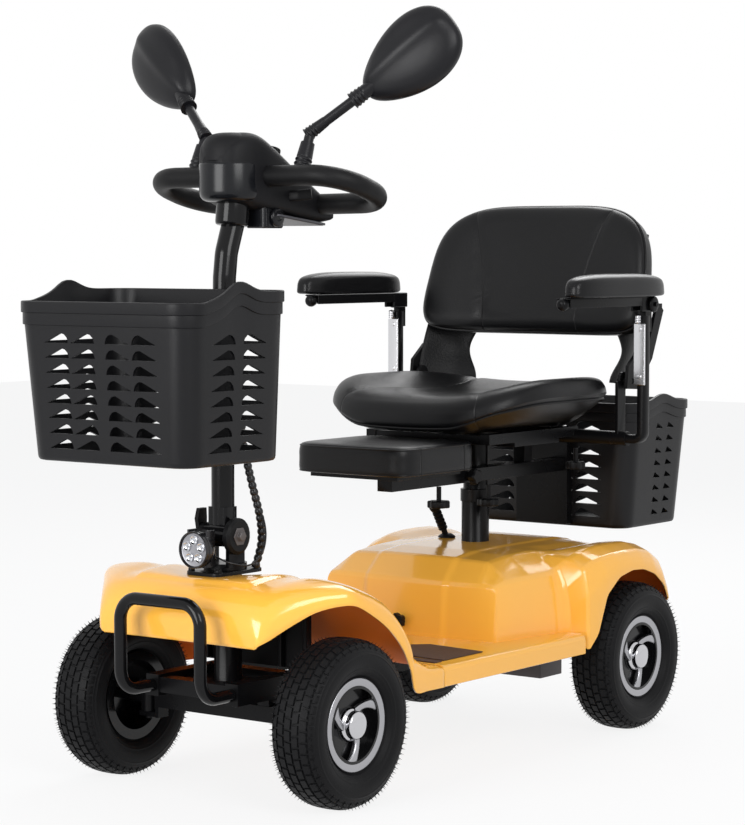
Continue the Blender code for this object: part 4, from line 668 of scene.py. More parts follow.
SADDLE_X, SADDLE_Z, SADDLE_HALF_LENGTH, SADDLE_HALF_WIDTH = -0.248, 0.531, 0.205, 0.213
SADDLE_SEAM_RING, BACK_SEAM_RING, CHILD_SEAM_RINGS = 13, 30, (("top", 25), ("foot", 7))
SADDLE_LEVELS = ((0.60, 0.0), (0.80, 0.002), (0.93, 0.014), (0.99, 0.028), (1.0, 0.040), (0.985, 0.056),
                 (0.93, 0.070), (0.80, 0.0745), (0.50, 0.067), (0.2, 0.062), (0.04, 0.0615))


def saddle_rings(steps=144):
    """The outline is a superellipse. Sides rise as |y|^2.4, the front dips as x^1.6, and the lower edge
    sweeps up towards both sides."""
    turn = np.arange(steps) * 2 * math.pi / steps
    c, s = np.cos(turn), np.sin(turn)
    outline = np.stack([SADDLE_HALF_LENGTH * np.sign(c) * np.abs(c) ** 0.62,
                        SADDLE_HALF_WIDTH * np.sign(s) * np.abs(s) ** 0.56], 1)
    share, height = through(SADDLE_LEVELS, 5).T[:, :, None]
    x, y = outline[:, 0] * share + SADDLE_X, outline[:, 1] * share
    rise = np.clip(height / 0.03, 0, 1)
    sides = 0.021 * np.clip(np.abs(y) / 0.2, 0, 1) ** 2.4
    lift = sides - 0.016 * np.clip((x + 0.19) / 0.13, 0, 1) ** 1.6
    off_seam = np.abs(y) - 0.088 - 0.9 * (x + 0.30) ** 2
    valley = 0.0022 * step(share, 0.99, 0.9) * np.exp(-((off_seam / 0.007) ** 2))
    sweep = 0.020 * step(np.abs(y), 0.09, 0.17) * (1 - step(height, 0.01, 0.05)) * step(height, -0.02, 0.006)
    return np.stack([x, y, SADDLE_Z + height + rise * lift - rise * valley + sweep], -1)


saddle_leather = leather_look("saddle_leather", [("Y", 0.088, "X", -0.30, 0.9)])
saddle = saddle_rings()
padded("saddle", saddle, saddle_leather, "seat", "seat_pad")
welt("saddle_welt", saddle[SADDLE_SEAM_RING] + (0, 0, -0.001), 0.0026, saddle_leather, "seat")


def box_pad(outline, middle, levels, steps=5):
    """An outline scaled by each level's share about the middle, at that level's height."""
    share, height = through(levels, steps).T[:, :, None]
    plan = outline * share[..., None]
    return np.concatenate([plan + middle, np.broadcast_to(height[..., None], plan.shape[:2] + (1,))], -1)


child_leather = leather_look("child_leather", [("X", 0.062, "Y", 0.0, 0.0)])
CHILD_LEVELS = ((0.90, 0.4717), (0.975, 0.4735), (1.0, 0.479), (1.0, 0.495), (1.0, 0.508), (0.985, 0.5165),
                (0.955, 0.5205), (0.85, 0.5225), (0.6, 0.5235), (0.3, 0.524), (0.04, 0.524))
child_outline = ring_of(1.0, 120, 0.30) * (0.110, 0.118)
child_rings = box_pad(child_outline, (0, 0), CHILD_LEVELS)
padded("child_pad", child_rings, child_leather, "seat", "child_seat_pad")
for place, ring in CHILD_SEAM_RINGS:
    welt(f"child_welt_{place}", child_rings[ring], 0.0016, child_leather, "seat")

arm_leather = leather_look("arm_leather", [], roughness=0.24)
ARM_LEVELS = ((0.88, 0.7628), (0.96, 0.7636), (1.0, 0.7665), (1.0, 0.7735), (0.985, 0.7840), (0.93, 0.7920),
              (0.78, 0.7975), (0.52, 0.8010), (0.2, 0.8019), (0.04, 0.802))
for name, side in SIDES:
    arm_outline = ring_of(1.0, 96, 0.62) * (0.142, 0.027)
    rings = box_pad(arm_outline, (-0.271, side * 0.283), ARM_LEVELS)
    padded(f"arm_rest_{name}", rings, arm_leather, f"arm_{name}", f"arm_pad_{name}")

BACK_LEAN, BACK_FRONT, BACK_BOTTOM = math.radians(14), -0.424, 0.700
BACK_HALF_WIDTH, BACK_HEIGHT, BACK_DEPTH = 0.237, 0.232, 0.060


def back_place(across, up, depth):
    """World points from a place on the leaning back: across it, up its face and into its depth."""
    x = BACK_FRONT - up * math.sin(BACK_LEAN) - depth * math.cos(BACK_LEAN)
    z = BACK_BOTTOM + up * math.cos(BACK_LEAN) - depth * math.sin(BACK_LEAN)
    return np.stack(np.broadcast_arrays(x + 0.020 * (across / 0.23) ** 2, across, z), -1)


def backrest_rings(steps=160):
    """Two half superellipses, squarer at the foot, narrowing upwards. Two valleys follow the seams."""
    turn = np.arange(steps) * 2 * math.pi / steps
    c, s = np.cos(turn), np.sin(turn)
    across = BACK_HALF_WIDTH * np.sign(c) * np.abs(c) ** np.where(s < 0, 0.24, 0.45)
    up = BACK_HEIGHT / 2 * (1 + np.sign(s) * np.abs(s) ** np.where(s < 0, 0.30, 0.58))
    across = across * (1 - 0.13 * (up / BACK_HEIGHT) ** 2)
    levels = ((0.04, 0.0005), (0.3, 0.0008), (0.6, 0.001), (0.8, 0.002), (0.93, 0.007), (0.99, 0.016),
              (1.0, 0.026), (1.0, 0.040), (0.99, 0.052), (0.95, BACK_DEPTH - 0.001), (0.80, BACK_DEPTH),
              (0.4, BACK_DEPTH), (0.04, BACK_DEPTH))
    share, depth = through(levels, 5).T[:, :, None]
    plan_across, plan_up = across * share, BACK_HEIGHT / 2 + (up - BACK_HEIGHT / 2) * share
    seam = 0.100 + 0.95 * plan_up**2
    face = step(share, 1.0, 0.94) * step(depth, 0.03, 0.01)
    depth = depth + 0.0020 * face * np.exp(-(((np.abs(plan_across) - seam) / 0.007) ** 2))
    return back_place(plan_across, plan_up, depth)


back_leather = leather_look("back_leather", [("Y", 0.100, "Z", 0.70, 1.0)])
back_rings = backrest_rings()
padded("back_pad", back_rings, back_leather, "backrest", "backrest_pad")
welt("back_welt", back_rings[BACK_SEAM_RING], 0.0032, back_leather, "backrest")


# Backrest wings: two wide plates of pressed steel, painted in a black that dries to wrinkles. Each curves
# from its hinge up behind the pad, which rests against it.
def wing(side):
    """A plate between two edges that curve upwards: the outer one at the hinge, the inner one waisted."""
    up, over = np.linspace(0, 1, 24)[:, None], np.linspace(0, 1, 16)[None, :]
    waist = np.sin(math.pi * up) ** 2
    outer_x, outer_y = -0.408 - 0.040 * up**1.5, 0.2285 + 0.003 * up
    inner_x, inner_y = -0.478 - 0.018 * up, 0.146 + 0.020 * waist
    x = outer_x + over * (inner_x - outer_x) - 0.012 * np.sin(math.pi * over)
    y = outer_y + over * (inner_y - outer_y)
    z = 0.604 + 0.109 * up + 0 * over
    return np.stack([x, side * y, z], -1)


wrinkle_black = finish("wrinkle_black", (0.005, 0.005, 0.0055), 0.42, scale=330.0, depth=0.0006,
                       Specular_IOR_Level=0.15)
for name, side in SIDES:
    grid = wing(side)
    faces = grid_faces(*grid.shape[:2])
    faces = faces if side > 0 else faces[:, ::-1]
    plate = made_object(f"back_wing_{name}", grid.reshape(-1, 3), faces.tolist(), (wrinkle_black,),
                        "backrest")
    walled(plate, 0.003)


# Arm posts: a bright plated strip is screwed to the front of each post, with a sprung catch at its top.
# A turned steel cap and a hexagon nut close the hinge of each arm rest.
def rounded_levels(low, high, corner, levels, steps=4):
    """A shape whose plan has round corners, from its levels of (inset, height)."""
    middle, half = (low + high)[:2] / 2, (high - low)[:2] / 2
    quarter = np.tile(np.linspace(0, math.pi / 2, steps + 1), 4)
    turn = np.repeat(np.arange(4), steps + 1) * math.pi / 2 + quarter
    signs = np.repeat(((1, 1), (-1, 1), (-1, -1), (1, -1)), steps + 1, axis=0)
    arc = np.stack([np.cos(turn), np.sin(turn)], 1)
    return closed([
        np.column_stack([signs * (half - corner) + (corner - inset) * arc + middle, np.full(len(turn), z)])
        for inset, z in levels
    ])


def rounded_block(low, high, radius):
    """A box whose upright edges are round and whose ends are cut back by half that radius."""
    low, high = np.minimum(low, high), np.maximum(low, high)
    edge = radius * 0.5
    levels = ((edge, low[2]), (0, low[2] + edge), (0, high[2] - edge), (edge, high[2]))
    return rounded_levels(low, high, radius, levels)


ARM_Y, HINGE_X, HINGE_Z = 0.265, -0.400, 0.748
RIVET = [(0, 0), (0.0040, 0), (0.0036, 0.0016), (0, 0.0020)]
COIL = [(0, 0), *((radius, up + 0.0040 * turn) for turn in range(4)
                  for radius, up in ((0.0050, 0.0002), (0.0062, 0.0014), (0.0050, 0.0026))), (0, 0.0160)]
HINGE_CAP = eased([(0, 0), (0.0125, 0), (0.0140, 0.0018), (0.0140, 0.0050), (0.0120, 0.0065),
                   (0.0060, 0.0070), (0, 0.0070)], 0.0006)
HINGE_NUT = [(0, 0), (0.0045, 0), (0.0045, 0.0040), (0, 0.0040)]
for name, side in SIDES:
    y, outwards = side * ARM_Y, (0, side, 0)
    shapes = [rounded_block((-0.3820, y - 0.0110, 0.608), (-0.3785, y + 0.0110, 0.714), 0.0012)]
    shapes += [turned(RIVET, (-0.3785, y, z), (1, 0, 0), 20) for z in (0.622, 0.704)]
    shapes.append(turned(COIL, (-0.3745, y, 0.715), (0, 0, 1), 24))
    solid(f"arm_strip_{name}", shapes, bright_steel, "seat")
    shapes = [turned(HINGE_CAP, (HINGE_X, y + side * 0.0124, HINGE_Z), outwards, 32),
              turned(HINGE_NUT, (HINGE_X, y + side * 0.0194, HINGE_Z), outwards, 6)]
    solid(f"arm_hinge_cap_{name}", shapes, black_steel, f"arm_{name}")


# Arm channels: folded steel strips with flanges turned down, under the pads. A ball knob is screwed in under
# the front end.
BALL = eased([(0, -0.0030), (0.0050, -0.0030), (0.0056, 0.0020), (0.0088, 0.0045), (0.0108, 0.0100),
              (0.0104, 0.0160), (0.0070, 0.0205), (0, 0.0215)], 0.0016)
for name, side in SIDES:
    y = side * ARM_Y
    shapes = [rounded_block((-0.4100, y - 0.0125, 0.7595), (-0.1300, y + 0.0125, 0.7625), 0.0040),
              rounded_block((-0.1450, y - 0.0100, 0.7480), (-0.1420, y + 0.0100, 0.7605), 0.0012)]
    for wall in (-1, 1):
        inside, outside = y + wall * 0.0100, y + wall * 0.0122
        shapes.append(rounded_block((-0.3690, inside, 0.7455), (-0.1400, outside, 0.7605), 0.0009))
        inside, outside = y + wall * 0.0068, y + wall * 0.0122
        shapes.append(rounded_block((-0.4090, inside, 0.7360), (-0.3680, outside, 0.7620), 0.0020))
    shapes.append(turned(BALL, (-0.146, y, 0.7545), (1, 0, -0.25), 32))
    solid(f"arm_channel_{name}", shapes, black_steel, f"arm_{name}", [f"arm_bar_{name}"])


# Console: a housing in black plastic over the head of the tiller. A glossy drum closes its front below a
# matt domed lid, a grey plate closes it below, and it carries a key box and a ribbed dial.
lid_plastic = finish("lid_plastic", (0.006, 0.006, 0.007), 0.50, scale=1500.0, depth=0.00016,
                     Specular_IOR_Level=0.15)
drum_plastic = finish("drum_plastic", (0.006, 0.0065, 0.008), 0.22, scale=900.0, depth=0.00004,
                      Specular_IOR_Level=0.25)
grey_plastic = finish("grey_plastic", (0.06, 0.06, 0.07), 0.4, scale=900.0, depth=0.0001)
DIAL_GRIPS = 24
CONSOLE_STATIONS = (
    (0.2085, 0.893, 0.903, 0.044), (0.216, 0.888, 0.911, 0.056), (0.246, 0.8855, 0.933, 0.061),
    (0.300, 0.892, 0.968, 0.060), (0.350, 0.900, 1.002, 0.057), (0.385, 0.906, 1.0215, 0.0535),
    (0.412, 0.914, 1.0205, 0.0475), (0.434, 0.918, 1.008, 0.0365), (0.4465, 0.924, 0.986, 0.019),
)


def console_housing():
    """Squared ovals from the back to the front, each from its underside to its top and its half width."""
    x, low, high, half = through(CONSOLE_STATIONS, 8).T
    outline = np.stack([ring_of(1.0, 64, 0.42) * (w, (b - a) / 2) for a, b, w in zip(low, high, half)])
    return closed(np.stack([np.broadcast_to(x[:, None], outline.shape[:2]), outline[..., 0],
                            outline[..., 1] + ((low + high) / 2)[:, None]], -1))


solid("console_housing", [console_housing()], lid_plastic, "tiller", ["console"])
UPRIGHT, DRUM_MIDDLE = (0, 0, 1), (0.4005, 0, 0)
drum = eased([(0, 0.9165), (0.0380, 0.9165), (0.0460, 0.9205), (0.0495, 0.9275), (0.0500, 0.9345),
              (0.0500, 0.9745), (0.0485, 0.9765), (0, 0.9765)], 0.002)
solid("console_drum", [turned(drum, DRUM_MIDDLE, UPRIGHT, 96)], drum_plastic, "tiller")
lid = [(0, 0.9780), (0.0470, 0.9780), (0.0480, 0.9800), (0.0475, 0.9900), (0.0455, 1.0020), (0.0415, 1.0120),
       (0.0340, 1.0190), (0.0200, 1.0225), (0, 1.0235)]
lid = eased(eased(lid, 0.003), 0.001)
solid("console_lid", [turned(lid, DRUM_MIDDLE, UPRIGHT, 96)], lid_plastic, "tiller")
plate, plate_faces = rounded_block((0.226, -0.052, 0.8800), (0.352, 0.052, 0.8850), 0.008)
plate[:, 2] += 0.115 * (plate[:, 0] - 0.226)
solid("console_plate", [(plate, plate_faces)], grey_plastic, "tiller")
lock = eased([(0, 0), (0.0150, 0), (0.0150, 0.0045), (0.0125, 0.0070), (0.0060, 0.0070), (0.0055, 0.0050),
              (0, 0.0050)], 0.0008)
key_box = [rounded_block((0.3260, 0.0060, 0.8760), (0.3740, 0.0440, 0.9120), 0.004),
           turned(lock, (0.3460, 0.0440, 0.8930), (0, 1, 0), 40)]
key_box += [rounded_block((x, 0.0435, 0.8790), (x + 0.0022, 0.0452, 0.9060), 0.0005)
            for x in (0.3635, 0.3680)]
solid("console_key_box", key_box, drum_plastic, "tiller")
turn = np.arange(96) * 2 * math.pi / 96
dial_ring = np.stack([np.cos(turn), np.sin(turn)], 1) * (1 + 0.035 * np.cos(DIAL_GRIPS * turn))[:, None]
dial = [dial_ring * radius for radius in (0.0145, 0.0145, 0.0130, 0.0125, 0.0115)]
dial_path = np.array([(0.328, 0.018, 0.978), (0.3272, 0.018, 0.981), (0.3262, 0.018, 0.984),
                      (0.3215, 0.018, 0.999), (0.3208, 0.018, 1.001)])
solid("console_dial", [along(dial_path, dial)], black_plastic, "tiller", sharp=50)


# Handlebars: a steel loop each side of the console, sleeved in closed black foam, with a short moulded
# lever beside the console.
foam = finish("grip_foam", (0.006, 0.006, 0.0065), 0.45, scale=1000.0, depth=0.0003,
              Specular_IOR_Level=0.15)
for name, side in SIDES:
    corners = [(0.372, 0.030, 0.956), (0.378, 0.195, 0.956), (0.246, 0.195, 0.916), (0.250, 0.030, 0.914)]
    loop = bent([(x, side * y, z) for x, y, z in corners], 0.060, 24)
    corners = [(0.330, side * 0.045, 0.925), (0.324, side * 0.070, 0.927), (0.312, side * 0.088, 0.929)]
    lever = bent(corners, 0.015, 8)
    blade = ring_of(1.0, 20, 0.7) * (0.0085, 0.0035)
    solid(f"grip_{name}", [along(loop, ring_of(0.0163, 28), (0, 0, 1))], foam, "tiller",
          [f"handlebar_{name}"])
    solid(f"hand_lever_{name}", [along(lever, blade, (0, 0, 1))], black_plastic, "tiller")


# Mirrors: a leaf-shaped moulded back with a soft crease, on a bent stem with ribbed rubber boots at its
# joints. The glass sits in the rear of the shell behind a narrow lip.
mirror_plastic = finish("mirror_plastic", (0.006, 0.006, 0.0075), 0.36, scale=1500.0, depth=0.0001,
                        Specular_IOR_Level=0.22)
mirror_silver = finish("mirror_silver", (0.86, 0.87, 0.88), 0.03, metallic=1.0, depth=0.0, variation=0.0)
MIRROR_MIDDLE, STEM_Y = (0.274, 0.248, 1.135), 0.106
MIRROR_LEVELS = ((0.03, -0.0035), (0.5, -0.0035), (0.86, -0.0035), (0.90, -0.0050), (0.93, -0.0078),
                 (0.97, -0.0080), (1.0, -0.0060), (1.0, -0.0010), (0.985, 0.0040), (0.93, 0.0098),
                 (0.80, 0.0158), (0.60, 0.0198), (0.40, 0.0220), (0.20, 0.0232), (0.03, 0.0235))


def ribbed(start, end, radius, ribs):
    """A boot between two points: a tapered sleeve with round ribs over its lower half."""
    start, end = np.asarray(start), np.asarray(end)
    length = np.linalg.norm(end - start)
    place = np.linspace(0, 1, 60)
    out = radius * (1 - 0.22 * place) + 0.0008 * np.cos(place * ribs * 2 * math.pi) * step(place, 0.55, 0.45)
    profile = np.stack([out, place * length], 1)
    return turned(np.concatenate([[(0, 0)], profile, [(0, length)]]), start, end - start, 28)


for name, side in SIDES:
    centre = np.array(MIRROR_MIDDLE) * (1, side, 1)
    long_way = np.array((-0.18, side * 0.80, 0.60))
    long_way /= np.linalg.norm(long_way)
    facing = np.array((1.0, side * 0.25, 0.0))
    facing -= (facing @ long_way) * long_way
    facing /= np.linalg.norm(facing)
    wide_way = np.cross(facing, long_way)
    turn = np.arange(96) * 2 * math.pi / 96
    reach = 0.089 * np.cos(turn)
    s = np.sin(turn)
    breadth = (0.057 + 0.16 * reach - 0.9 * reach**2) * np.sign(s) * np.abs(s) ** 0.74
    share, depth = through(MIRROR_LEVELS, 4).T[:, :, None]
    a, b = reach * share, breadth * share
    crease = 0.0035 * step(depth, 0.004, 0.016) * np.exp(-((b - 0.014 * side) / 0.012) ** 2)
    leaf = centre + a[..., None] * long_way + b[..., None] * wide_way + (depth + crease)[..., None] * facing
    neck = centre - 0.070 * long_way + 0.008 * facing
    y = side * STEM_Y
    elbow = np.array((0.338, y, 1.022))
    stem = bent([(0.362, y, 0.960), (0.352, y, 0.985), elbow, neck], 0.020, 8)
    upwards = (neck - elbow) / np.linalg.norm(neck - elbow)
    shapes = [
        closed(leaf), along(stem, ring_of(0.0078, 24)),
        ribbed((0.3620, y, 0.960), (0.3440, y, 1.006), 0.0140, 7),
        ribbed(elbow - 0.006 * upwards, elbow + 0.030 * upwards, 0.0106, 6),
        ribbed(neck - 0.040 * upwards, neck + 0.006 * upwards, 0.0130, 7),
    ]
    solid(f"mirror_leaf_{name}", shapes, mirror_plastic, "tiller", [f"mirror_{name}"],
          sharp=50)
    rim = np.stack([reach, breadth], 1) * 0.885
    levels = ((0.01, -0.0036), (1, -0.0036), (1, -0.0058), (0.99, -0.0062), (0.01, -0.0066))
    glass = [centre + out * facing + share * (rim[:, :1] * long_way + rim[:, 1:] * wide_way)
             for share, out in levels]
    solid(f"mirror_face_{name}", [closed(glass)], mirror_silver, "tiller",
          [f"mirror_glass_{name}"])
    nut = [(0, 0), (0.0075, 0), (0.0075, 0.0055), (0, 0.0055)]
    solid(f"mirror_nut_{name}", [turned(nut, (0.364, side * 0.0900, 0.9660), UPRIGHT, 6)], bright_steel,
          "tiller")


# Baskets: injection-moulded tubs with a double-stepped rim whose sides rise in the middle, and rows of
# fin-shaped slots down the walls. The front one clamps to the tiller, the rear one hooks on its hanger.
basket_plastic = finish("basket_plastic", (0.006, 0.006, 0.007), 0.36, scale=1600.0, depth=0.00012,
                        Specular_IOR_Level=0.22)
WALL, TUB_FOOT, BAND_STEP = 0.004, 0.008, 0.017
CORNER_RADIUS, CORNER_POINTS, SIDE_POINTS = 0.034, 9, 22
FRONT_PLACES = ((0.224, 0.314, 0.577, 0.528), (0.236, 0.338, 0.585, 0.767))
REAR_PLACES = ((0.203, 0.340, -0.5883, 0.340), (0.2162, 0.366, -0.5949, 0.567))
FRONT_BAND, REAR_BAND = 0.036, 0.034
FIN = np.array(((0.0, 0.0), (1.0, 0.0), (0.985, 0.004), (0.94, 0.0085), (0.84, 0.0130), (0.70, 0.0145),
                (0.55, 0.0115), (0.30, 0.0060)))
TRIANGLE = np.array(((0.0, 0.0), (1.0, 0.0), (0.93, 0.0025), (0.80, 0.0095), (0.70, 0.0098), (0.08, 0.0022)))


def slot_shapes(places, band, columns, rows=8, pitch=0.0225, sill=0.020):
    """Prisms through a wall, from columns of (direction, middle, start, end, outline) up from the sill."""
    (low_length, low_width, low_x, low_z), (top_length, top_width, top_x, top_z) = places
    up = np.arange(rows) * pitch + sill
    share = (up - TUB_FOOT) / (top_z - band - low_z - TUB_FOOT)
    for (dx, dy), middle, start, end, outline in columns:
        low, top = (low_length, top_length) if dx else (low_width, top_width)
        face = (low + share * (top - low)) / 2 + dx * (low_x + share * (top_x - low_x))
        run = middle + start + outline[:, 0] * (end - start)
        for wall, height in zip(face, up):
            rings = []
            for out in (wall - 0.012, wall + 0.008):
                x = out * dx + run * abs(dy)
                y = out * dy + run * abs(dx)
                rings.append(np.column_stack([x, y, low_z + height + outline[:, 1]]))
            yield closed(rings)


def tub(name, places, band, rim_lift, columns, body, node):
    """A rounded rectangle from the middle of the floor up the wall, over the rim and down inside. Its levels
    are (share of the way from floor to rim, outset, share of the rim's wave, depth below that height)."""
    (low_length, low_width, low_x, low_z), (top_length, top_width, top_x, top_z) = places
    levels = (
        (0, -0.030, 0, 0), (0, -0.008, 0, 0), (0, -0.0030, 0, -0.0012), (0, -0.0008, 0, -0.004),
        (0, 0, 0, -TUB_FOOT), (1, 0, 1, band), (1, 0.0026, 1, band - 0.0008), (1, 0.003, 1, band - 0.002),
        (1, 0.003, 1, BAND_STEP + 0.001), (1, 0.0052, 1, BAND_STEP), (1, 0.0056, 1, BAND_STEP - 0.0012),
        (1, 0.0056, 1, 0.0016), (1, 0.0046, 1, 0.0003), (1, 0.0035, 1, 0.0), (1, 0.0005, 1, 0),
        (1, -0.0006, 1, 0.0004), (1, -0.001, 1, 0.0016), (1, -WALL, 1, band), (0, -WALL, 0, -0.012),
        (0, -WALL - 0.004, 0, -0.0056), (0, -WALL - 0.010, 0, -WALL), (0, -0.034, 0, -WALL),
    )
    rings = []
    for share, out, lift, down in levels:
        length = low_length + share * (top_length - low_length) + 2 * out
        width = low_width + share * (top_width - low_width) + 2 * out
        radius = max(CORNER_RADIUS + out, 0.004)
        quarter = np.linspace(0, math.pi / 2, CORNER_POINTS)
        turn = np.concatenate([corner * math.pi / 2 + quarter for corner in range(4)])
        signs = np.repeat(((1, 1), (-1, 1), (-1, -1), (1, -1)), CORNER_POINTS, axis=0)
        arc = radius * np.stack([np.cos(turn), np.sin(turn)], 1)
        plan = signs * (length / 2 - radius, width / 2 - radius) + arc
        corners = np.split(plan, 4)
        sides = [np.linspace(corners[i][-1], corners[i + 1][0], SIDE_POINTS)[1:-1] for i in (0, 2)]
        plan = np.concatenate([corners[0], sides[0], corners[1], corners[2], sides[1], corners[3]])
        x = plan[:, 0] + low_x + share * (top_x - low_x)
        z = (top_z if share else low_z) - down + lift * rim_lift(x)
        rings.append(np.column_stack([x, plan[:, 1], z]))
    made = solid(name, [closed(rings)], basket_plastic, body, [node], sharp=30)
    prisms = list(slot_shapes(places, band, columns))
    cutter = solid(f"{name}_slots", prisms, basket_plastic, body)
    cut = made.modifiers.new("slots", "BOOLEAN")
    cut.operation = "DIFFERENCE"
    cut.solver = "EXACT"
    cut.object = cutter
    bpy.context.view_layer.update()
    finished = bpy.data.meshes.new_from_object(made.evaluated_get(bpy.context.evaluated_depsgraph_get()))
    made.modifiers.clear()
    made.data = finished
    bpy.data.objects.remove(cutter)
    finished.set_sharp_from_angle(angle=math.radians(30))


front_columns, rear_columns = [], []
for side in (1, -1):
    front_columns += [((dx, 0), 0, side * a, side * b, FIN) for dx in (1, -1)
                      for a, b in ((0.059, 0.0105), (0.111, 0.0625)) if dx > 0 or a > 0.1]
    front_columns += [((0, side), 0.581, -0.062, -0.009, FIN), ((0, side), 0.581, 0.062, 0.009, FIN)]
    rear_columns += [((dx, 0), 0, side * a, side * b, FIN) for dx in (1, -1)
                     for a, b in ((0.062, 0.0105), (0.122, 0.0655))]
    rear_columns += [((0, side), -0.591, a, b, TRIANGLE) for a, b in ((-0.050, -0.026), (-0.012, 0.012))]
tub("basket_front", FRONT_PLACES, FRONT_BAND,
    lambda x: 0.014 * np.exp(-(((x - 0.585) / 0.030) ** 2)) + 0.016 * np.clip((0.665 - x) / 0.065, 0, 1),
    front_columns, "tiller", "front_basket")
tub("basket_rear", REAR_PLACES, REAR_BAND, lambda x: 0.014 * np.exp(-(((x + 0.595) / 0.040) ** 2)),
    rear_columns, "seat", "rear_basket")


# Headlight: a cast black housing with cooling ribs, on a neck from the fork's base. Five bright LED cups sit
# in a satin face behind its rim.
lamp_housing = finish("lamp_housing", (0.02, 0.02, 0.022), 0.22, metallic=0.4, scale=900.0, depth=0.00004)
reflector = finish("reflector", (0.62, 0.63, 0.66), 0.10, metallic=1.0, scale=900.0, depth=0.0,
                   variation=0.04)
lamp_face = finish("lamp_face", (0.30, 0.30, 0.32), 0.38, metallic=0.7, scale=900.0, depth=0.00003)
LAMP_PLACE, AHEAD = np.array((0.496, 0.0, 0.384)), (1, 0, 0)
CUP_RING, CUP_RADIUS = 0.0148, 0.0066
housing = eased([(0, -0.0335), (0.0150, -0.0335), (0.0175, -0.0300), (0.0175, -0.0270), (0.0230, -0.0250),
                 (0.0275, -0.0180), (0.0285, -0.0110), (0.0285, 0.0), (0.0262, 0.0), (0.0255, -0.0060),
                 (0, -0.0060)], 0.0008)
band = [(0.0287, -0.0100), (0.0292, -0.0095), (0.0292, -0.0070), (0.0287, -0.0065)]
shapes = [turned(housing, LAMP_PLACE, AHEAD), turned(band, LAMP_PLACE, AHEAD),
          rounded_block((0.4500, -0.0085, 0.3538), (0.4700, 0.0085, 0.3850), 0.002)]
shapes += [rounded_block((0.4660, y - 0.0020, 0.3760), (0.4860, y + 0.0020, 0.4140), 0.0015)
           for y in (-0.0180, 0.0180)]
solid("headlight_housing", shapes, lamp_housing, "steering", ["headlight"])
cup = [(CUP_RADIUS * 1.10, -0.0058), (CUP_RADIUS * 1.10, -0.0022), (CUP_RADIUS * 0.96, -0.0020),
       (CUP_RADIUS * 0.80, -0.0036), (CUP_RADIUS * 0.50, -0.0043), (0.0018, -0.0043), (0.0015, -0.0030),
       (0, -0.0028), (0, -0.0058)]
plate = [(0, -0.0060), (0.0254, -0.0060), (0.0254, -0.0040), (0.0235, -0.0046), (0, -0.0046)]
solid("headlight_face", [turned(plate, LAMP_PLACE, AHEAD)], lamp_face, "steering")
shapes = []
for number in range(5):
    turn = math.radians(90 + 72 * number)
    place = LAMP_PLACE + (0, CUP_RING * math.cos(turn), CUP_RING * math.sin(turn))
    shapes.append(turned(cup, place, AHEAD, 28))
solid("headlight_cups", shapes, reflector, "steering", sharp=50)


# Steering head: the cover plate is pressed steel with a rounded edge, held by four cap screws. A hexagon
# bolt closes the folding joint above it.
SCREW = eased([(0, 0), (0.0052, 0), (0.0052, 0.0042), (0.0046, 0.0050), (0.0026, 0.0050), (0.0026, 0.0024),
               (0, 0.0024)], 0.0003)
PLATE_LOW, PLATE_HIGH = np.array((0.3645, -0.037, 0.3423)), np.array((0.4765, 0.037, 0.3480))
PLATE_EDGE = 0.0015
rounding = np.linspace(0, math.pi / 2, 5)
levels = [(0.0, PLATE_LOW[2]), *zip(PLATE_EDGE * (1 - np.cos(rounding)),
                                    PLATE_HIGH[2] - PLATE_EDGE * (1 - np.sin(rounding)))]
shapes = [rounded_levels(PLATE_LOW, PLATE_HIGH, 0.016, levels, 6)]
shapes += [turned(SCREW, (x, y, 0.3479), UPRIGHT, 24) for x in (0.374, 0.467) for y in (-0.027, 0.027)]
solid("head_plate", shapes, black_steel, "chassis", ["column_base"])
bolt = eased([(0, 0), (0.0150, 0), (0.0150, 0.0016), (0.0080, 0.0020), (0.0080, 0.0070), (0.0066, 0.0080),
              (0, 0.0080)], 0.0004)
solid("joint_bolt", [turned(bolt, (FOLD_X, 0.0405, FOLD_Z), steps=6)], cast_metal, "steering")


# Wiring: a spiral-wrapped loom hangs from the tiller behind the folding joint. It is 0.23 m long. A bare
# wire of 0.17 m leads from the headlight to it.
def wrapped(path, radius, pitch, steps=18):
    """A tube along a path whose radius swells and falls back with every turn of the wrap."""
    run = np.concatenate([[0], np.cumsum(np.linalg.norm(np.diff(path, axis=0), axis=1))])
    even = np.linspace(0, run[-1], int(run[-1] / pitch * 8))
    path = np.stack([np.interp(even, run, axis) for axis in path.T], 1)
    swell = 1 + 0.45 * np.abs(np.sin(math.pi * even / pitch)) ** 0.7
    return along(path, ring_of(radius, steps) * swell[:, None, None])


loom_plastic = finish("loom_plastic", (0.008, 0.008, 0.009), 0.3, scale=800.0, depth=0.0001,
                      Specular_IOR_Level=0.35)
loom_corners = [(0.4000, 0.018, 0.575), (0.3970, 0.021, 0.535), (0.3880, 0.029, 0.480),
                (0.3780, 0.036, 0.430), (0.3760, 0.038, 0.392), (0.3810, 0.035, 0.364),
                (0.3850, 0.031, 0.3485)]
loom = solid("loom", [wrapped(through(loom_corners, 12), 0.0046, 0.0105)], loom_plastic,
             None)
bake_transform(loom)
wire_corners = [(0.4580, 0.012, 0.372), (0.4470, 0.034, 0.362), (0.4180, 0.048, 0.357),
                (0.3900, 0.050, 0.372), (0.3800, 0.050, 0.400), (0.3830, 0.046, 0.430),
                (0.3900, 0.036, 0.445)]
solid("lamp_wire", [along(through(wire_corners, 12), ring_of(0.0014, 10))], loom_plastic,
      "steering")


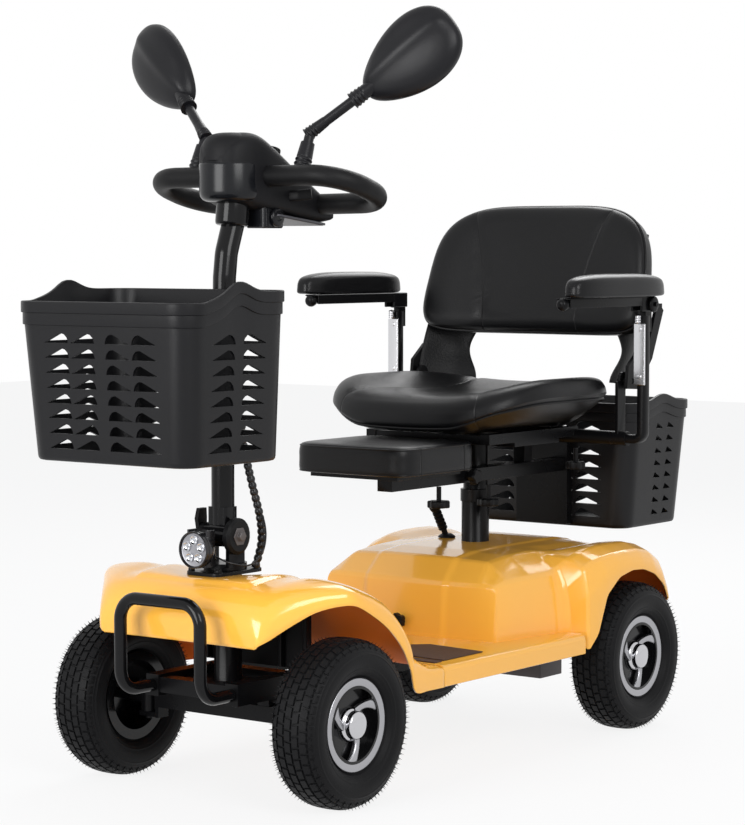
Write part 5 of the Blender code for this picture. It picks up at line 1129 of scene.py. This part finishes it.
# Splash plate: a thin moulded sheet with four upright ribs stands on the rails behind the front axle, out of
# reach of the wheels at full lock.
splash = [rounded_block((0.3350, -0.1050, 0.1880), (0.3376, 0.1050, 0.2880), 0.0010)]
splash += [rounded_block((0.3376, y - 0.0040, 0.1900), (0.3480, y + 0.0040, 0.2800), 0.0015)
           for y in (-0.100, -0.050, 0.050, 0.100)]
solid("splash_plate", splash, black_plastic, "chassis")


# Mat strips: a second, narrow piece of the same rubber lies in front of each foot mat, glued to the tray by
# the rear lip of the front cover.
for name, side in SIDES:
    strip = rounded_block((0.1570, side * 0.1640, 0.1901), (0.1770, side * 0.2280, 0.1921), 0.0008)
    solid(f"mat_strip_{name}", [strip], mat_rubber, "chassis")


# Release lever and clamp screws: moulded black plastic. The lever stands in the deck, its grip ribbed, and
# the star heads turn screws that clamp the child seat's tube and the cross tube of the seat.
def star_head(centre, radius, thickness, lobes=7):
    """A flat disc whose edge swells and falls with a cosine wave, eased at both faces."""
    turn = np.arange(112) * 2 * math.pi / 112
    edge = radius * (1 + 0.07 * np.cos(lobes * turn))
    ring = np.stack([edge * np.cos(turn), edge * np.sin(turn)], 1)
    levels = ((0.90, 0), (0.97, 0.05), (1.0, 0.16), (1.0, 0.84), (0.97, 0.95), (0.90, 1.0))
    path = np.array([np.add(centre, (0, 0, (out - 0.5) * thickness)) for _, out in levels])
    return along(path, [ring * share for share, _ in levels], (1, 0, 0))


foot, tip = np.array((-0.274, -0.068, 0.3300)), np.array((-0.2380, -0.068, 0.3860))
length = float(np.linalg.norm(tip - foot))
GRIP_RIBS, place = 7.5, np.linspace(0, 1, 90)
grip = np.where(place < 0.30, 0.0052,
                0.0072 + 0.0011 * np.sign(np.sin(place * GRIP_RIBS * 2 * math.pi)))
profile = np.stack([grip, 0.002 + place * (length - 0.004)], 1)
base = eased([(0, 0), (0.0155, 0), (0.0160, 0.0020), (0.0120, 0.0050), (0.0080, 0.0075), (0, 0.0075)],
             0.0008)
knob = eased([(0, -0.004), (0.0088, -0.004), (0.0104, 0.002), (0.0090, 0.0080), (0.0040, 0.0100),
              (0, 0.0102)], 0.0012)
shapes = [turned(np.concatenate([[(0, 0.002)], profile, [(0, length - 0.002)]]), foot, tip - foot, 28),
          turned(base, foot, UPRIGHT, 40), turned(knob, tip, tip - foot, 32)]
solid("lever_grip", shapes, black_plastic, "chassis", ["release_lever"], sharp=45)
screw = [(0, 0), (0.0042, 0), (0.0042, 0.0300), (0, 0.0300)]
clamps = [((-0.235, 0.048, 0.4030), 0.0180, 0.0120), ((-0.095, 0.042, 0.4100), 0.0185, 0.0120),
          ((-0.405, 0.120, 0.4600), 0.0165, 0.0130)]
heads = []
for centre, radius, thickness in clamps:
    heads += [star_head(centre, radius, thickness), turned(screw, centre, UPRIGHT, 20)]
solid("clamp_screws", heads, black_plastic, "seat", sharp=50)
